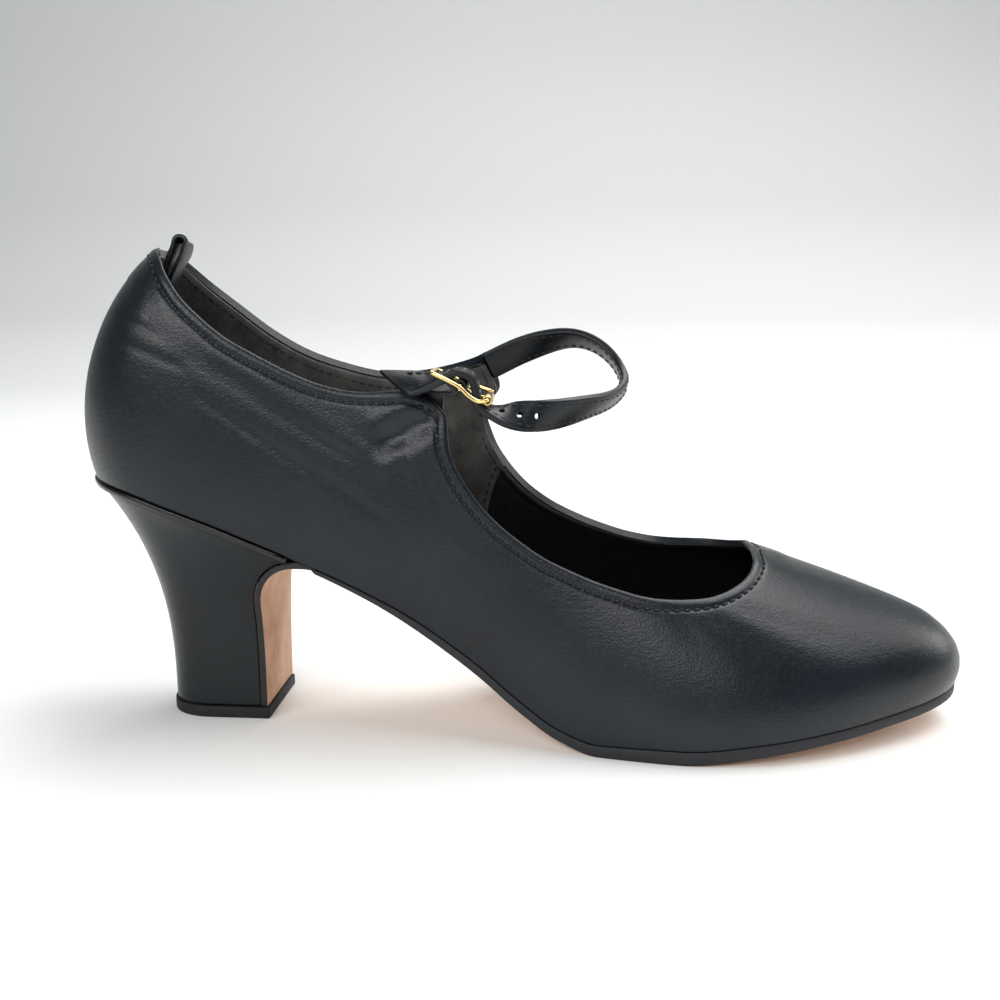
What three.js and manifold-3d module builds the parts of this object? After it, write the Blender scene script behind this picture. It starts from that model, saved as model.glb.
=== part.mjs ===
import * as THREE from 'three';
import { mergeVertices } from 'three/addons/utils/BufferGeometryUtils.js';
import Module from 'manifold-3d';

// Character shoe for the right foot: leather upper with an instep strap, leather sole, covered heel.
// Millimetres. +X points to the toe, +Y to the inner side of the foot, +Z up, and the floor is z = 0.

// Driving dimensions of the shoe.
const LENGTH = 245;
const BALL_WIDTH = 78;
const SEAT_HEIGHT = 67.7;
const TOE_SPRING = 9.6;
const BACK_HEIGHT = 62;
const WALL = 2;
const SOLE_EDGE = 4;
const INSOLE_THICKNESS = 2.4;
const GAP = 0.3;
const SLACK = 0.4;

// Driving dimensions of the heel.
const BREAST_AT = 51.6;
const BREAST_RADIUS = 12;
const FLAP_THICKNESS = 1.8;
const TOP_PIECE_THICKNESS = 3.2;
const TOP_PIECE_WIDTH = 28.5;
const TOP_PIECE_LENGTH = 29.4;
const TOP_PIECE_LIP = 0.5;
const HEEL_CORNER = 14;
const HEEL_RIM = 0.5;
const HEEL_TUCK = 1;
const HEEL_RIM_HEIGHT = 1.8;

// Driving dimensions of the strap, its buckle and the pull tab.
const STRAP_WIDTH = 7.9;
const STRAP_THICKNESS = 1.9;
const HOLE_PITCH = 6;
const HOLE_DIAMETER = 1.6;
const FIRST_HOLE_AT = 5;
const BAR_DIAMETER = 1.1;
const BAR_SPACING = 7.7;
const FRAME_SIDE_CLEARANCE = 0.6;
const ROLLER_DIAMETER = 2.6;
const PRONG_DIAMETER = 0.9;
const TAB_LENGTH = 12;
const TAB_WIDTH = 7.3;
const TAB_THICKNESS = 0.9;
const TAB_SLOT = 2.2;
const PULL_TAB_LENGTH = 17;
const PULL_TAB_WIDTH = 6.4;
const PULL_TAB_THICKNESS = 1.1;

// How finely the curved forms are drawn.
const STATIONS = 40;
const LEVELS = 16;
const BAR_SIDES = 8;

// Plan outline of the upper's lower edge, once round from the centre back along the outer side.
// at: share of LENGTH from the back. side: share of BALL_WIDTH, positive on the inner side.
const OUTLINE = [
  { at: 0.007, side: 0.000 },
  { at: 0.026, side: -0.160 },
  { at: 0.062, side: -0.275 },
  { at: 0.117, side: -0.334 },
  { at: 0.196, side: -0.346 },
  { at: 0.297, side: -0.323 },
  { at: 0.399, side: -0.328 },
  { at: 0.501, side: -0.380 },
  { at: 0.603, side: -0.460 },
  { at: 0.691, side: -0.500 },
  { at: 0.767, side: -0.480 },
  { at: 0.836, side: -0.410 },
  { at: 0.897, side: -0.302 },
  { at: 0.946, side: -0.195 },
  { at: 0.973, side: -0.110 },
  { at: 0.987, side: -0.025 },
  { at: 0.992, side: 0.062 },
  { at: 0.987, side: 0.155 },
  { at: 0.972, side: 0.240 },
  { at: 0.942, side: 0.322 },
  { at: 0.877, side: 0.415 },
  { at: 0.801, side: 0.475 },
  { at: 0.721, side: 0.490 },
  { at: 0.641, side: 0.465 },
  { at: 0.562, side: 0.395 },
  { at: 0.460, side: 0.285 },
  { at: 0.379, side: 0.245 },
  { at: 0.297, side: 0.256 },
  { at: 0.215, side: 0.306 },
  { at: 0.126, side: 0.335 },
  { at: 0.062, side: 0.277 },
  { at: 0.026, side: 0.160 },
];

// The sole's underside and edge along the shoe.
// arch: share of SEAT_HEIGHT. spring: share of TOE_SPRING. edge: sole thickness, share of SOLE_EDGE.
const BOTTOM = [
  { at: 0.000, arch: 1.000, spring: 0.00, edge: 0.00 },
  { at: 0.040, arch: 0.987, spring: 0.00, edge: 0.00 },
  { at: 0.075, arch: 0.966, spring: 0.00, edge: 0.00 },
  { at: 0.113, arch: 0.926, spring: 0.00, edge: 0.00 },
  { at: 0.154, arch: 0.876, spring: 0.00, edge: 0.00 },
  { at: 0.195, arch: 0.818, spring: 0.00, edge: 0.00 },
  { at: 0.228, arch: 0.758, spring: 0.00, edge: 0.15 },
  { at: 0.260, arch: 0.694, spring: 0.00, edge: 0.33 },
  { at: 0.297, arch: 0.631, spring: 0.00, edge: 0.40 },
  { at: 0.340, arch: 0.551, spring: 0.00, edge: 0.48 },
  { at: 0.372, arch: 0.483, spring: 0.00, edge: 0.62 },
  { at: 0.415, arch: 0.380, spring: 0.00, edge: 0.74 },
  { at: 0.459, arch: 0.266, spring: 0.00, edge: 0.80 },
  { at: 0.503, arch: 0.138, spring: 0.00, edge: 0.82 },
  { at: 0.544, arch: 0.045, spring: 0.00, edge: 0.80 },
  { at: 0.587, arch: 0.000, spring: 0.00, edge: 0.85 },
  { at: 0.671, arch: 0.000, spring: 0.00, edge: 0.98 },
  { at: 0.750, arch: 0.000, spring: 0.23, edge: 0.90 },
  { at: 0.815, arch: 0.000, spring: 0.45, edge: 0.80 },
  { at: 0.885, arch: 0.000, spring: 0.64, edge: 0.76 },
  { at: 0.938, arch: 0.000, spring: 0.78, edge: 0.74 },
  { at: 1.000, arch: 0.000, spring: 1.00, edge: 0.72 },
];

// The last's ridge over the foot, where its ribs end.
// at: share of LENGTH at the foot of a rib. top: the same for the rib's upper end. rise: height of
// that end over the foot, share of BACK_HEIGHT. side: share of BALL_WIDTH.
const RIDGE = [
  { at: 0.010, top: 0.233, rise: 1.250, side: 0.00 },
  { at: 0.040, top: 0.240, rise: 1.260, side: 0.00 },
  { at: 0.113, top: 0.262, rise: 1.330, side: 0.00 },
  { at: 0.204, top: 0.310, rise: 1.420, side: 0.00 },
  { at: 0.306, top: 0.375, rise: 1.420, side: 0.01 },
  { at: 0.408, top: 0.441, rise: 1.440, side: 0.02 },
  { at: 0.510, top: 0.522, rise: 1.350, side: 0.03 },
  { at: 0.612, top: 0.606, rise: 1.120, side: 0.04 },
  { at: 0.700, top: 0.668, rise: 0.900, side: 0.05 },
  { at: 0.776, top: 0.706, rise: 0.768, side: 0.05 },
  { at: 0.845, top: 0.735, rise: 0.690, side: 0.05 },
  { at: 0.906, top: 0.755, rise: 0.620, side: 0.05 },
  { at: 0.955, top: 0.767, rise: 0.573, side: 0.05 },
  { at: 0.996, top: 0.775, rise: 0.535, side: 0.05 },
];

// How a rib swells on its way from the lower edge to the ridge.
// at: share of LENGTH. bulge: outward swell, share of BALL_WIDTH. shoulder: height of the swell,
// share of the rib's height. reach and drop: width and slope of the crown, shares of the rib's
// span and height.
const RIBS = [
  { at: 0.010, bulge: 0.092, shoulder: 0.28, reach: 0.98, drop: 0.14 },
  { at: 0.040, bulge: 0.078, shoulder: 0.28, reach: 1.00, drop: 0.12 },
  { at: 0.113, bulge: 0.070, shoulder: 0.26, reach: 0.94, drop: 0.08 },
  { at: 0.204, bulge: 0.072, shoulder: 0.23, reach: 0.82, drop: 0.05 },
  { at: 0.306, bulge: 0.070, shoulder: 0.22, reach: 0.90, drop: 0.02 },
  { at: 0.408, bulge: 0.070, shoulder: 0.22, reach: 1.00, drop: 0.00 },
  { at: 0.510, bulge: 0.065, shoulder: 0.25, reach: 0.80, drop: 0.00 },
  { at: 0.612, bulge: 0.050, shoulder: 0.30, reach: 0.62, drop: 0.00 },
  { at: 0.700, bulge: 0.035, shoulder: 0.35, reach: 0.56, drop: 0.03 },
  { at: 0.776, bulge: 0.040, shoulder: 0.38, reach: 0.53, drop: 0.09 },
  { at: 0.845, bulge: 0.055, shoulder: 0.42, reach: 0.55, drop: 0.14 },
  { at: 0.906, bulge: 0.075, shoulder: 0.45, reach: 0.54, drop: 0.15 },
  { at: 0.955, bulge: 0.090, shoulder: 0.47, reach: 0.54, drop: 0.18 },
  { at: 0.996, bulge: 0.095, shoulder: 0.48, reach: 0.54, drop: 0.20 },
];

// Upper edge of the upper seen from the side: the collar from the centre back to the top of the
// quarter, then the throat from there down and forward to its front end on the ridge.
// at: share of LENGTH. rise: height over the lower edge, share of BACK_HEIGHT.
const OUTER_COLLAR = [
  { at: 0.042, rise: 1.055 },
  { at: 0.098, rise: 1.052 },
  { at: 0.113, rise: 1.030 },
  { at: 0.120, rise: 0.996 },
  { at: 0.126, rise: 0.971 },
  { at: 0.142, rise: 0.912 },
  { at: 0.163, rise: 0.865 },
  { at: 0.192, rise: 0.820 },
  { at: 0.223, rise: 0.804 },
  { at: 0.259, rise: 0.796 },
  { at: 0.290, rise: 0.800 },
  { at: 0.325, rise: 0.836 },
  { at: 0.358, rise: 0.902 },
  { at: 0.378, rise: 0.950 },
  { at: 0.396, rise: 0.975 },
  { at: 0.410, rise: 0.985 },
];
const OUTER_THROAT = [
  { at: 0.423, rise: 0.960 },
  { at: 0.425, rise: 0.892 },
  { at: 0.427, rise: 0.826 },
  { at: 0.433, rise: 0.784 },
  { at: 0.441, rise: 0.746 },
  { at: 0.459, rise: 0.700 },
  { at: 0.480, rise: 0.682 },
  { at: 0.501, rise: 0.682 },
  { at: 0.528, rise: 0.686 },
  { at: 0.554, rise: 0.687 },
  { at: 0.580, rise: 0.673 },
  { at: 0.605, rise: 0.642 },
  { at: 0.630, rise: 0.613 },
  { at: 0.658, rise: 0.596 },
  { at: 0.698, rise: 0.590 },
  { at: 0.714, rise: 0.594 },
  { at: 0.730, rise: 0.605 },
  { at: 0.741, rise: 0.618 },
  { at: 0.750, rise: 0.640 },
  { at: 0.756, rise: 0.675 },
  { at: 0.759, rise: 0.725 },
  { at: 0.760, rise: 0.950 },
];
const INNER_COLLAR = [
  { at: 0.042, rise: 1.055 },
  { at: 0.094, rise: 1.040 },
  { at: 0.105, rise: 0.993 },
  { at: 0.120, rise: 0.943 },
  { at: 0.150, rise: 0.880 },
  { at: 0.193, rise: 0.818 },
  { at: 0.239, rise: 0.800 },
  { at: 0.287, rise: 0.827 },
  { at: 0.333, rise: 0.879 },
  { at: 0.377, rise: 0.980 },
  { at: 0.408, rise: 1.081 },
  { at: 0.440, rise: 1.206 },
  { at: 0.451, rise: 1.261 },
];
const INNER_THROAT = [
  { at: 0.466, rise: 1.183 },
  { at: 0.467, rise: 1.140 },
  { at: 0.454, rise: 1.028 },
  { at: 0.451, rise: 0.957 },
  { at: 0.456, rise: 0.900 },
  { at: 0.463, rise: 0.850 },
  { at: 0.475, rise: 0.812 },
  { at: 0.490, rise: 0.786 },
  { at: 0.506, rise: 0.773 },
  { at: 0.529, rise: 0.771 },
  { at: 0.559, rise: 0.765 },
  { at: 0.590, rise: 0.738 },
  { at: 0.616, rise: 0.700 },
  { at: 0.648, rise: 0.672 },
  { at: 0.675, rise: 0.668 },
  { at: 0.706, rise: 0.666 },
  { at: 0.729, rise: 0.660 },
  { at: 0.745, rise: 0.662 },
  { at: 0.756, rise: 0.680 },
  { at: 0.759, rise: 0.725 },
  { at: 0.760, rise: 0.950 },
];

// Centre line of the strap from its root on the inner quarter, round the front of its loop and
// back to the buckle. at: share of LENGTH. side: share of BALL_WIDTH. over: height over the root,
// share of BACK_HEIGHT. lean: turn of the strap's upper edge about its run, in degrees from the
// outside of the loop towards the outer side of the shoe.
const STRAP_LOOP = [
  { at: 0.460, side: 0.177, over: 0.004, lean: 12 },
  { at: 0.491, side: 0.177, over: 0.063, lean: 20 },
  { at: 0.519, side: 0.172, over: 0.102, lean: 38 },
  { at: 0.541, side: 0.162, over: 0.123, lean: 50 },
  { at: 0.560, side: 0.144, over: 0.122, lean: 58 },
  { at: 0.582, side: 0.115, over: 0.091, lean: 66 },
  { at: 0.600, side: 0.082, over: 0.027, lean: 76 },
  { at: 0.608, side: 0.038, over: -0.029, lean: 84 },
  { at: 0.609, side: -0.019, over: -0.076, lean: 94 },
  { at: 0.595, side: -0.122, over: -0.122, lean: 122 },
  { at: 0.573, side: -0.212, over: -0.135, lean: 136 },
  { at: 0.552, side: -0.282, over: -0.146, lean: 146 },
  { at: 0.537, side: -0.321, over: -0.152, lean: 153 },
  { at: 0.515, side: -0.365, over: -0.156, lean: 172 },
  { at: 0.496, side: -0.397, over: -0.152, lean: 215 },
];

// The strap's way through the buckle and its tail, from the roller back. along: share of
// BAR_SPACING, towards the toe. over: off the frame's face, share of the strap's height over the
// centre bar. side: share of STRAP_WIDTH. lean: as for the loop.
const STRAP_BUCKLE = [
  { along: 1.440, over: -0.790, side: 0.00, lean: 258 },
  { along: 1.000, over: -0.855, side: 0.00, lean: 268 },
  { along: 0.727, over: -0.580, side: 0.00, lean: 270 },
  { along: 0.468, over: 0.400, side: 0.00, lean: 270 },
  { along: 0.234, over: 0.900, side: 0.00, lean: 270 },
  { along: 0.000, over: 1.000, side: 0.00, lean: 270 },
  { along: -0.300, over: 0.800, side: 0.00, lean: 270 },
  { along: -0.570, over: 0.100, side: 0.00, lean: 270 },
  { along: -1.000, over: -0.640, side: 0.02, lean: 269 },
  { along: -1.470, over: -0.940, side: 0.13, lean: 248 },
  { along: -1.960, over: -1.130, side: 0.25, lean: 232 },
];

// The buckle's centre bar, placed like the strap, and its frame's fall to the toe in degrees.
const BUCKLE = { at: 0.441, side: -0.359, over: -0.030, fall: 26.6 };

// Side rails of the buckle's frame. along: share of BAR_SPACING. dip: share of ROLLER_DIAMETER.
const RAIL = [
  { along: -1.00, dip: 0.00 },
  { along: 0.00, dip: 0.00 },
  { along: 0.40, dip: 0.35 },
  { along: 0.76, dip: 0.42 },
  { along: 1.00, dip: 0.00 },
];

// The tab's tongue from the centre bar over the outer quarter's edge and down its inside.
// back, side and down: shares of TAB_LENGTH. ahead and across: direction of its width.
const TONGUE = [
  { back: 0.025, side: 0.000, down: 0.100, ahead: 0.00, across: 1.00 },
  { back: 0.300, side: 0.117, down: 0.150, ahead: 0.15, across: 1.00 },
  { back: 0.533, side: 0.367, down: 0.150, ahead: 0.60, across: 0.80 },
  { back: 0.717, side: 0.650, down: 0.100, ahead: 1.00, across: 0.15 },
  { back: 0.758, side: 0.735, down: 0.330, ahead: 1.00, across: 0.00 },
  { back: 0.783, side: 0.640, down: 0.767, ahead: 1.00, across: 0.00 },
  { back: 0.800, side: 0.560, down: 1.100, ahead: 1.00, across: 0.00 },
];

// Side view of the pull tab, up from the inside of the centre back, over and down again.
// ahead: from the wall's inside at the collar. up: over the collar. Both are shares of
// PULL_TAB_LENGTH.
const PULL_TAB = [
  { ahead: -0.522, up: -1.020 },
  { ahead: -0.382, up: -0.680 },
  { ahead: -0.252, up: -0.410 },
  { ahead: -0.142, up: -0.200 },
  { ahead: -0.062, up: -0.060 },
  { ahead: 0.048, up: -0.080 },
  { ahead: 0.018, up: -0.250 },
  { ahead: -0.102, up: -0.460 },
  { ahead: -0.232, up: -0.730 },
  { ahead: -0.362, up: -1.020 },
];

const manifoldModule = await Module();
manifoldModule.setup();

// A smooth curve through one column of a table of rows, flat between two equal values.
function column(rows, key) {
  const places = rows.map(row => row.at);
  const values = rows.map(row => row[key]);
  const grades = [];
  for (let i = 0; i < rows.length - 1; i++) {
    grades.push((values[i + 1] - values[i]) / (places[i + 1] - places[i]));
  }
  const slopes = values.map((value, i) => {
    if (i === 0) return grades[0];
    if (i === rows.length - 1) return grades[i - 1];
    if (grades[i - 1] * grades[i] <= 0) return 0;
    return 2 * grades[i - 1] * grades[i] / (grades[i - 1] + grades[i]);
  });
  return at => {
    let i = 0;
    while (i < rows.length - 2 && at > places[i + 1]) i++;
    const width = places[i + 1] - places[i];
    const t = THREE.MathUtils.clamp((at - places[i]) / width, 0, 1);
    const start = (1 + 2 * t) * (1 - t) ** 2 * values[i] + t * (1 - t) ** 2 * width * slopes[i];
    const end = t * t * (3 - 2 * t) * values[i + 1] + t * t * (t - 1) * width * slopes[i + 1];
    return start + end;
  };
}

const archShare = column(BOTTOM, 'arch');
const springShare = column(BOTTOM, 'spring');
const edgeShare = column(BOTTOM, 'edge');

// Height of the sole's underside, and of the upper's lower edge over it.
function bottomHeight(x) {
  return SEAT_HEIGHT * archShare(x / LENGTH) + TOE_SPRING * springShare(x / LENGTH);
}
function featherHeight(x) {
  return bottomHeight(x) + SOLE_EDGE * edgeShare(x / LENGTH);
}

// The plan outline, cut at its back and front ends into an outer and an inner side.
function planSides() {
  const rows = OUTLINE.map(row => new THREE.Vector3(row.at * LENGTH, row.side * BALL_WIDTH, 0));
  const points = new THREE.CatmullRomCurve3(rows, true, 'centripetal').getPoints(600).slice(0, -1);
  const xs = points.map(point => point.x);
  const back = xs.indexOf(Math.min(...xs));
  const ordered = [...points.slice(back), ...points.slice(0, back), points[back]];
  const front = ordered.findIndex(point => point.x === Math.max(...xs));
  return { outer: ordered.slice(0, front + 1), inner: ordered.slice(front).reverse() };
}
const sides = planSides();
const HEEL_END = sides.outer[0].x;
const TOE_END = sides.outer[sides.outer.length - 1].x;

// Point of the plan outline at x on one side, with its outward direction.
function planPoint(side, x) {
  const points = sides[side];
  let i = 0;
  while (i < points.length - 2 && x > points[i + 1].x) i++;
  const t = THREE.MathUtils.clamp((x - points[i].x) / (points[i + 1].x - points[i].x), 0, 1);
  const run = points[i + 1].clone().sub(points[i]).normalize();
  const turn = side === 'outer' ? 1 : -1;
  const outward = new THREE.Vector3(run.y * turn, -run.x * turn, 0);
  if (x <= HEEL_END) outward.set(-1, 0, 0);
  if (x >= TOE_END) outward.set(1, 0, 0);
  return { point: points[i].clone().lerp(points[i + 1], t), outward };
}

const ridge = {
  top: column(RIDGE, 'top'),
  rise: column(RIDGE, 'rise'),
  side: column(RIDGE, 'side'),
};
const rib = {
  bulge: column(RIBS, 'bulge'),
  shoulder: column(RIBS, 'shoulder'),
  reach: column(RIBS, 'reach'),
  drop: column(RIBS, 'drop'),
};

// One rib of the last at x on one side, drawn inset from the outer surface and from depth below
// its foot, as a curve from the foot to the ridge.
function ribCurve(side, x, inset, below) {
  const at = x / LENGTH;
  const { point, outward } = planPoint(side, x);
  const foot = point.clone().addScaledVector(outward, -inset);
  foot.z = featherHeight(x) - below;
  const top = new THREE.Vector3(
    ridge.top(at) * LENGTH,
    ridge.side(at) * BALL_WIDTH,
    featherHeight(x) + ridge.rise(at) * BACK_HEIGHT - inset,
  );
  const height = top.z - foot.z;
  const swell = foot.clone().addScaledVector(outward, rib.bulge(at) * BALL_WIDTH);
  swell.z = foot.z + rib.shoulder(at) * height;
  const crown = top.clone().lerp(new THREE.Vector3(foot.x, foot.y, top.z), rib.reach(at));
  crown.z = top.z - rib.drop(at) * height;
  return new THREE.CubicBezierCurve3(foot, swell, crown, top);
}

// Stations along the shoe, close together at the round heel and toe.
function stationPlaces(count) {
  const places = [];
  for (let i = 0; i <= count; i++) {
    const even = i / count;
    const rounded = (1 - Math.cos(Math.PI * even)) / 2;
    places.push(THREE.MathUtils.lerp(HEEL_END, TOE_END, 0.3 * even + 0.7 * rounded));
  }
  places[0] = HEEL_END;
  places[count] = TOE_END;
  return places;
}

// A solid made of points and triangles, with repeated points merged and flat triangles dropped.
function solidFrom(points, faces) {
  const geometry = new THREE.BufferGeometry().setFromPoints(points);
  geometry.setIndex(faces.flat());
  return toSolid(geometry);
}
function toSolid(geometry) {
  geometry.deleteAttribute('normal');
  geometry.deleteAttribute('uv');
  const merged = mergeVertices(geometry, 1e-4);
  const corners = merged.index.array;
  const kept = [];
  for (let i = 0; i < corners.length; i += 3) {
    const [a, b, c] = [corners[i], corners[i + 1], corners[i + 2]];
    if (a !== b && b !== c && a !== c) kept.push(a, b, c);
  }
  return new manifoldModule.Manifold(new manifoldModule.Mesh({
    numProp: 3,
    vertProperties: new Float32Array(merged.attributes.position.array),
    triVerts: new Uint32Array(kept),
  }));
}

// Faces of a skin through rings of equal count, each ring closed on itself.
function ringFaces(count, rings) {
  const faces = [];
  for (let j = 0; j < rings - 1; j++) {
    for (let i = 0; i < count; i++) {
      const a = j * count + i;
      const b = j * count + (i + 1) % count;
      faces.push([a, b, b + count], [a, b + count, a + count]);
    }
  }
  return faces;
}

// Faces that close one ring across the shoe, by strips between its outer and inner points.
function stripFaces(count, start, flip) {
  const faces = [];
  for (let i = 0; i < count / 2; i++) {
    const a = start + i;
    const b = start + i + 1;
    const c = start + (count - i) % count;
    const d = start + count - i - 1;
    faces.push([a, c, b], [b, c, d]);
  }
  return flip ? faces.map(([a, b, c]) => [a, c, b]) : faces;
}

// The last, inset from the upper's outer surface and carried down below its lower edge.
function lastSolid(inset, below) {
  const places = stationPlaces(STATIONS);
  const ribs = [
    ...places.map(x => ribCurve('outer', x, inset, 0)),
    ...places.slice(1, -1).reverse().map(x => ribCurve('inner', x, inset, 0)),
  ];
  const rings = [];
  if (below > 0) {
    rings.push(ribs.map(curve => curve.getPoint(0).sub(new THREE.Vector3(0, 0, below))));
  }
  for (let j = 0; j <= LEVELS; j++) rings.push(ribs.map(curve => curve.getPoint(j / LEVELS)));
  const faces = [...ringFaces(ribs.length, rings.length), ...stripFaces(ribs.length, 0, false)];
  return solidFrom(rings.flat(), faces);
}

// A solid that spans y from start to end, with an outline of x and z points.
function acrossSolid(outline, start, end) {
  const shape = new THREE.Shape(outline.map(([x, z]) => new THREE.Vector2(x, z)));
  const geometry = new THREE.ExtrudeGeometry(shape, { depth: end - start, bevelEnabled: false });
  geometry.rotateX(Math.PI / 2);
  geometry.translate(0, end, 0);
  return toSolid(geometry);
}

// The side view of one stretch of the upper's upper edge, as x and z points.
function edgeLine(rows, steps) {
  const points = rows.map(row => new THREE.Vector3(
    row.at * LENGTH,
    0,
    featherHeight(row.at * LENGTH) + row.rise * BACK_HEIGHT,
  ));
  const curve = new THREE.CatmullRomCurve3(points, false, 'centripetal');
  return curve.getPoints(steps).map(point => [point.x, point.z]);
}

// What is cut away over the collar and the throat on one side of the shoe.
function openingCutter(collar, throat, start, end) {
  const line = [...edgeLine(collar, 30), ...edgeLine(throat, 40)];
  const top = SEAT_HEIGHT + 3 * BACK_HEIGHT;
  const [front, back] = [line[line.length - 1][0], -LENGTH / 4];
  const outline = [...line, [front, top], [back, top], [back, line[0][1]]];
  return acrossSolid(outline, start, end);
}

function upperSolid() {
  const shell = lastSolid(0, 0).subtract(lastSolid(WALL, 2 * WALL));
  const split = ridge.side(OUTER_THROAT[OUTER_THROAT.length - 1].at) * BALL_WIDTH;
  return shell
    .subtract(openingCutter(OUTER_COLLAR, OUTER_THROAT, -BALL_WIDTH, split))
    .subtract(openingCutter(INNER_COLLAR, INNER_THROAT, split - GAP / 10, BALL_WIDTH));
}

// A sheet along the shoe between two inset plan outlines, from a station at x to the toe end.
function insoleSolid() {
  const inset = WALL + GAP;
  const rim = (side, x, over) => {
    const { point, outward } = planPoint(side, x);
    const place = point.clone().addScaledVector(outward, -inset);
    place.z = featherHeight(place.x) + over;
    return place;
  };
  const places = stationPlaces(STATIONS);
  const ring = over => [
    ...places.map(x => rim('outer', x, over)),
    ...places.slice(1, -1).reverse().map(x => rim('inner', x, over)),
  ];
  const rings = [ring(0), ring(INSOLE_THICKNESS)];
  const count = rings[0].length;
  const faces = [
    ...ringFaces(count, 2),
    ...stripFaces(count, 0, false),
    ...stripFaces(count, count, true),
  ];
  return solidFrom(rings.flat(), faces);
}

// Where the round inner corner between the heel's breast and the sole's underside ends, and its
// centre: the corner touches the breast plane and the underside.
function breastCorner() {
  const slope = x => (bottomHeight(x + 0.5) - bottomHeight(x - 0.5));
  const centreAt = x => x + BREAST_RADIUS * slope(x) / Math.hypot(1, slope(x));
  let low = BREAST_AT;
  let high = BREAST_AT + 3 * BREAST_RADIUS;
  for (let i = 0; i < 40; i++) {
    const middle = (low + high) / 2;
    if (centreAt(middle) < BREAST_AT + BREAST_RADIUS) low = middle;
    else high = middle;
  }
  const grade = slope(low);
  return {
    end: low,
    x: BREAST_AT + BREAST_RADIUS,
    z: bottomHeight(low) - BREAST_RADIUS / Math.hypot(1, grade),
    endAngle: Math.atan2(1, -grade),
  };
}
const corner = breastCorner();

// Side view of the breast and its corner at a depth behind the flap's face, from the top piece up.
function breastLine(depth) {
  const line = [[BREAST_AT - depth, TOP_PIECE_THICKNESS + GAP]];
  const steps = 10;
  for (let i = 0; i <= steps; i++) {
    const angle = THREE.MathUtils.lerp(Math.PI, corner.endAngle, i / steps);
    const radius = BREAST_RADIUS + depth;
    line.push([corner.x + radius * Math.cos(angle), corner.z + radius * Math.sin(angle)]);
  }
  return line;
}

// The heel before its breast is cut: a loft from the top piece's D shape to the heel seat.
const HEEL_LEVELS = [0, 0.15, 0.3, 0.43, 0.54, 0.64, 0.73, 0.81, 0.88, 0.94];
const HEEL_FLARE = 2.7;
const HEEL_STEPS = 16;
function tipHalfWidth(fromBack) {
  const depth = Math.min(fromBack / HEEL_CORNER, 1);
  return TOP_PIECE_WIDTH / 2 * (1 - (1 - depth) ** 2.4) ** (1 / 2.4);
}
function heelForm() {
  const front = corner.end + BREAST_RADIUS / 2;
  const tipBack = BREAST_AT - TOP_PIECE_LENGTH;
  const floor = TOP_PIECE_THICKNESS + GAP;
  const line = [];
  for (let i = 0; i <= HEEL_STEPS; i++) line.push(Math.sin(Math.PI / 2 * i / HEEL_STEPS));
  const sideLine = side => line.map(share => {
    const seatX = THREE.MathUtils.lerp(front, HEEL_END, share);
    const tipX = THREE.MathUtils.lerp(front, tipBack, share);
    const { point, outward } = planPoint(side, seatX);
    const turn = side === 'outer' ? -1 : 1;
    return { seat: point, outward, tip: new THREE.Vector3(tipX, turn * tipHalfWidth(tipX - tipBack), 0) };
  });
  const around = [...sideLine('outer'), ...sideLine('inner').slice(0, -1).reverse()];
  const seatHeight = x => featherHeight(x) - GAP;
  const rings = HEEL_LEVELS.map(level => around.map(({ seat, outward, tip }) => {
    const under = seat.clone().addScaledVector(outward, -HEEL_TUCK);
    const place = tip.clone().lerp(under, level ** HEEL_FLARE);
    const top = seatHeight(seat.x) - HEEL_RIM_HEIGHT;
    place.z = THREE.MathUtils.lerp(floor, top, level);
    return place;
  }));
  for (const [below, out] of [[HEEL_RIM_HEIGHT, 0], [HEEL_RIM_HEIGHT * 0.7, HEEL_RIM], [0, HEEL_RIM]]) {
    rings.push(around.map(({ seat, outward }) => {
      const place = seat.clone().addScaledVector(outward, out);
      place.z = seatHeight(seat.x) - below;
      return place;
    }));
  }
  return { rings, count: around.length };
}
function heelBlock() {
  const { rings, count } = heelForm();
  const points = rings.flat();
  const faces = ringFaces(count, rings.length);
  const last = (rings.length - 1) * count;
  for (let i = 0; i < (count - 1) / 2; i++) {
    const [a, b, c, d] = [i, i + 1, count - 1 - i, count - 2 - i];
    faces.push([a, c, b], [last + a, last + b, last + c]);
    if (b !== d) faces.push([b, c, d], [last + b, last + d, last + c]);
  }
  return solidFrom(points, faces.map(([a, b, c]) => [a, c, b]));
}

function heelSolid() {
  const line = breastLine(FLAP_THICKNESS + GAP);
  const ahead = LENGTH / 2;
  const low = -GAP;
  const outline = [[line[0][0], low], ...line, [ahead, line[line.length - 1][1]], [ahead, low]];
  return heelBlock().subtract(acrossSolid(outline, -BALL_WIDTH, BALL_WIDTH));
}

function topPieceSolid() {
  const back = BREAST_AT - TOP_PIECE_LENGTH;
  const outline = [];
  const steps = 12;
  for (let i = 0; i <= steps; i++) {
    const fromBack = HEEL_CORNER * (1 - Math.cos(Math.PI / 2 * i / steps));
    outline.push([back + fromBack, tipHalfWidth(fromBack)]);
  }
  outline.push([BREAST_AT, TOP_PIECE_WIDTH / 2]);
  const centre = back + TOP_PIECE_LENGTH / 2;
  const grow = ([x, y]) => new THREE.Vector2(
    centre + (x - centre) * (1 + 2 * TOP_PIECE_LIP / TOP_PIECE_LENGTH),
    y * (1 + 2 * TOP_PIECE_LIP / TOP_PIECE_WIDTH),
  );
  const half = outline.map(grow);
  const shape = new THREE.Shape([
    ...half,
    ...half.slice(1).reverse().map(point => new THREE.Vector2(point.x, -point.y)),
  ]);
  return toSolid(new THREE.ExtrudeGeometry(shape, { depth: TOP_PIECE_THICKNESS, bevelEnabled: false }));
}

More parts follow.
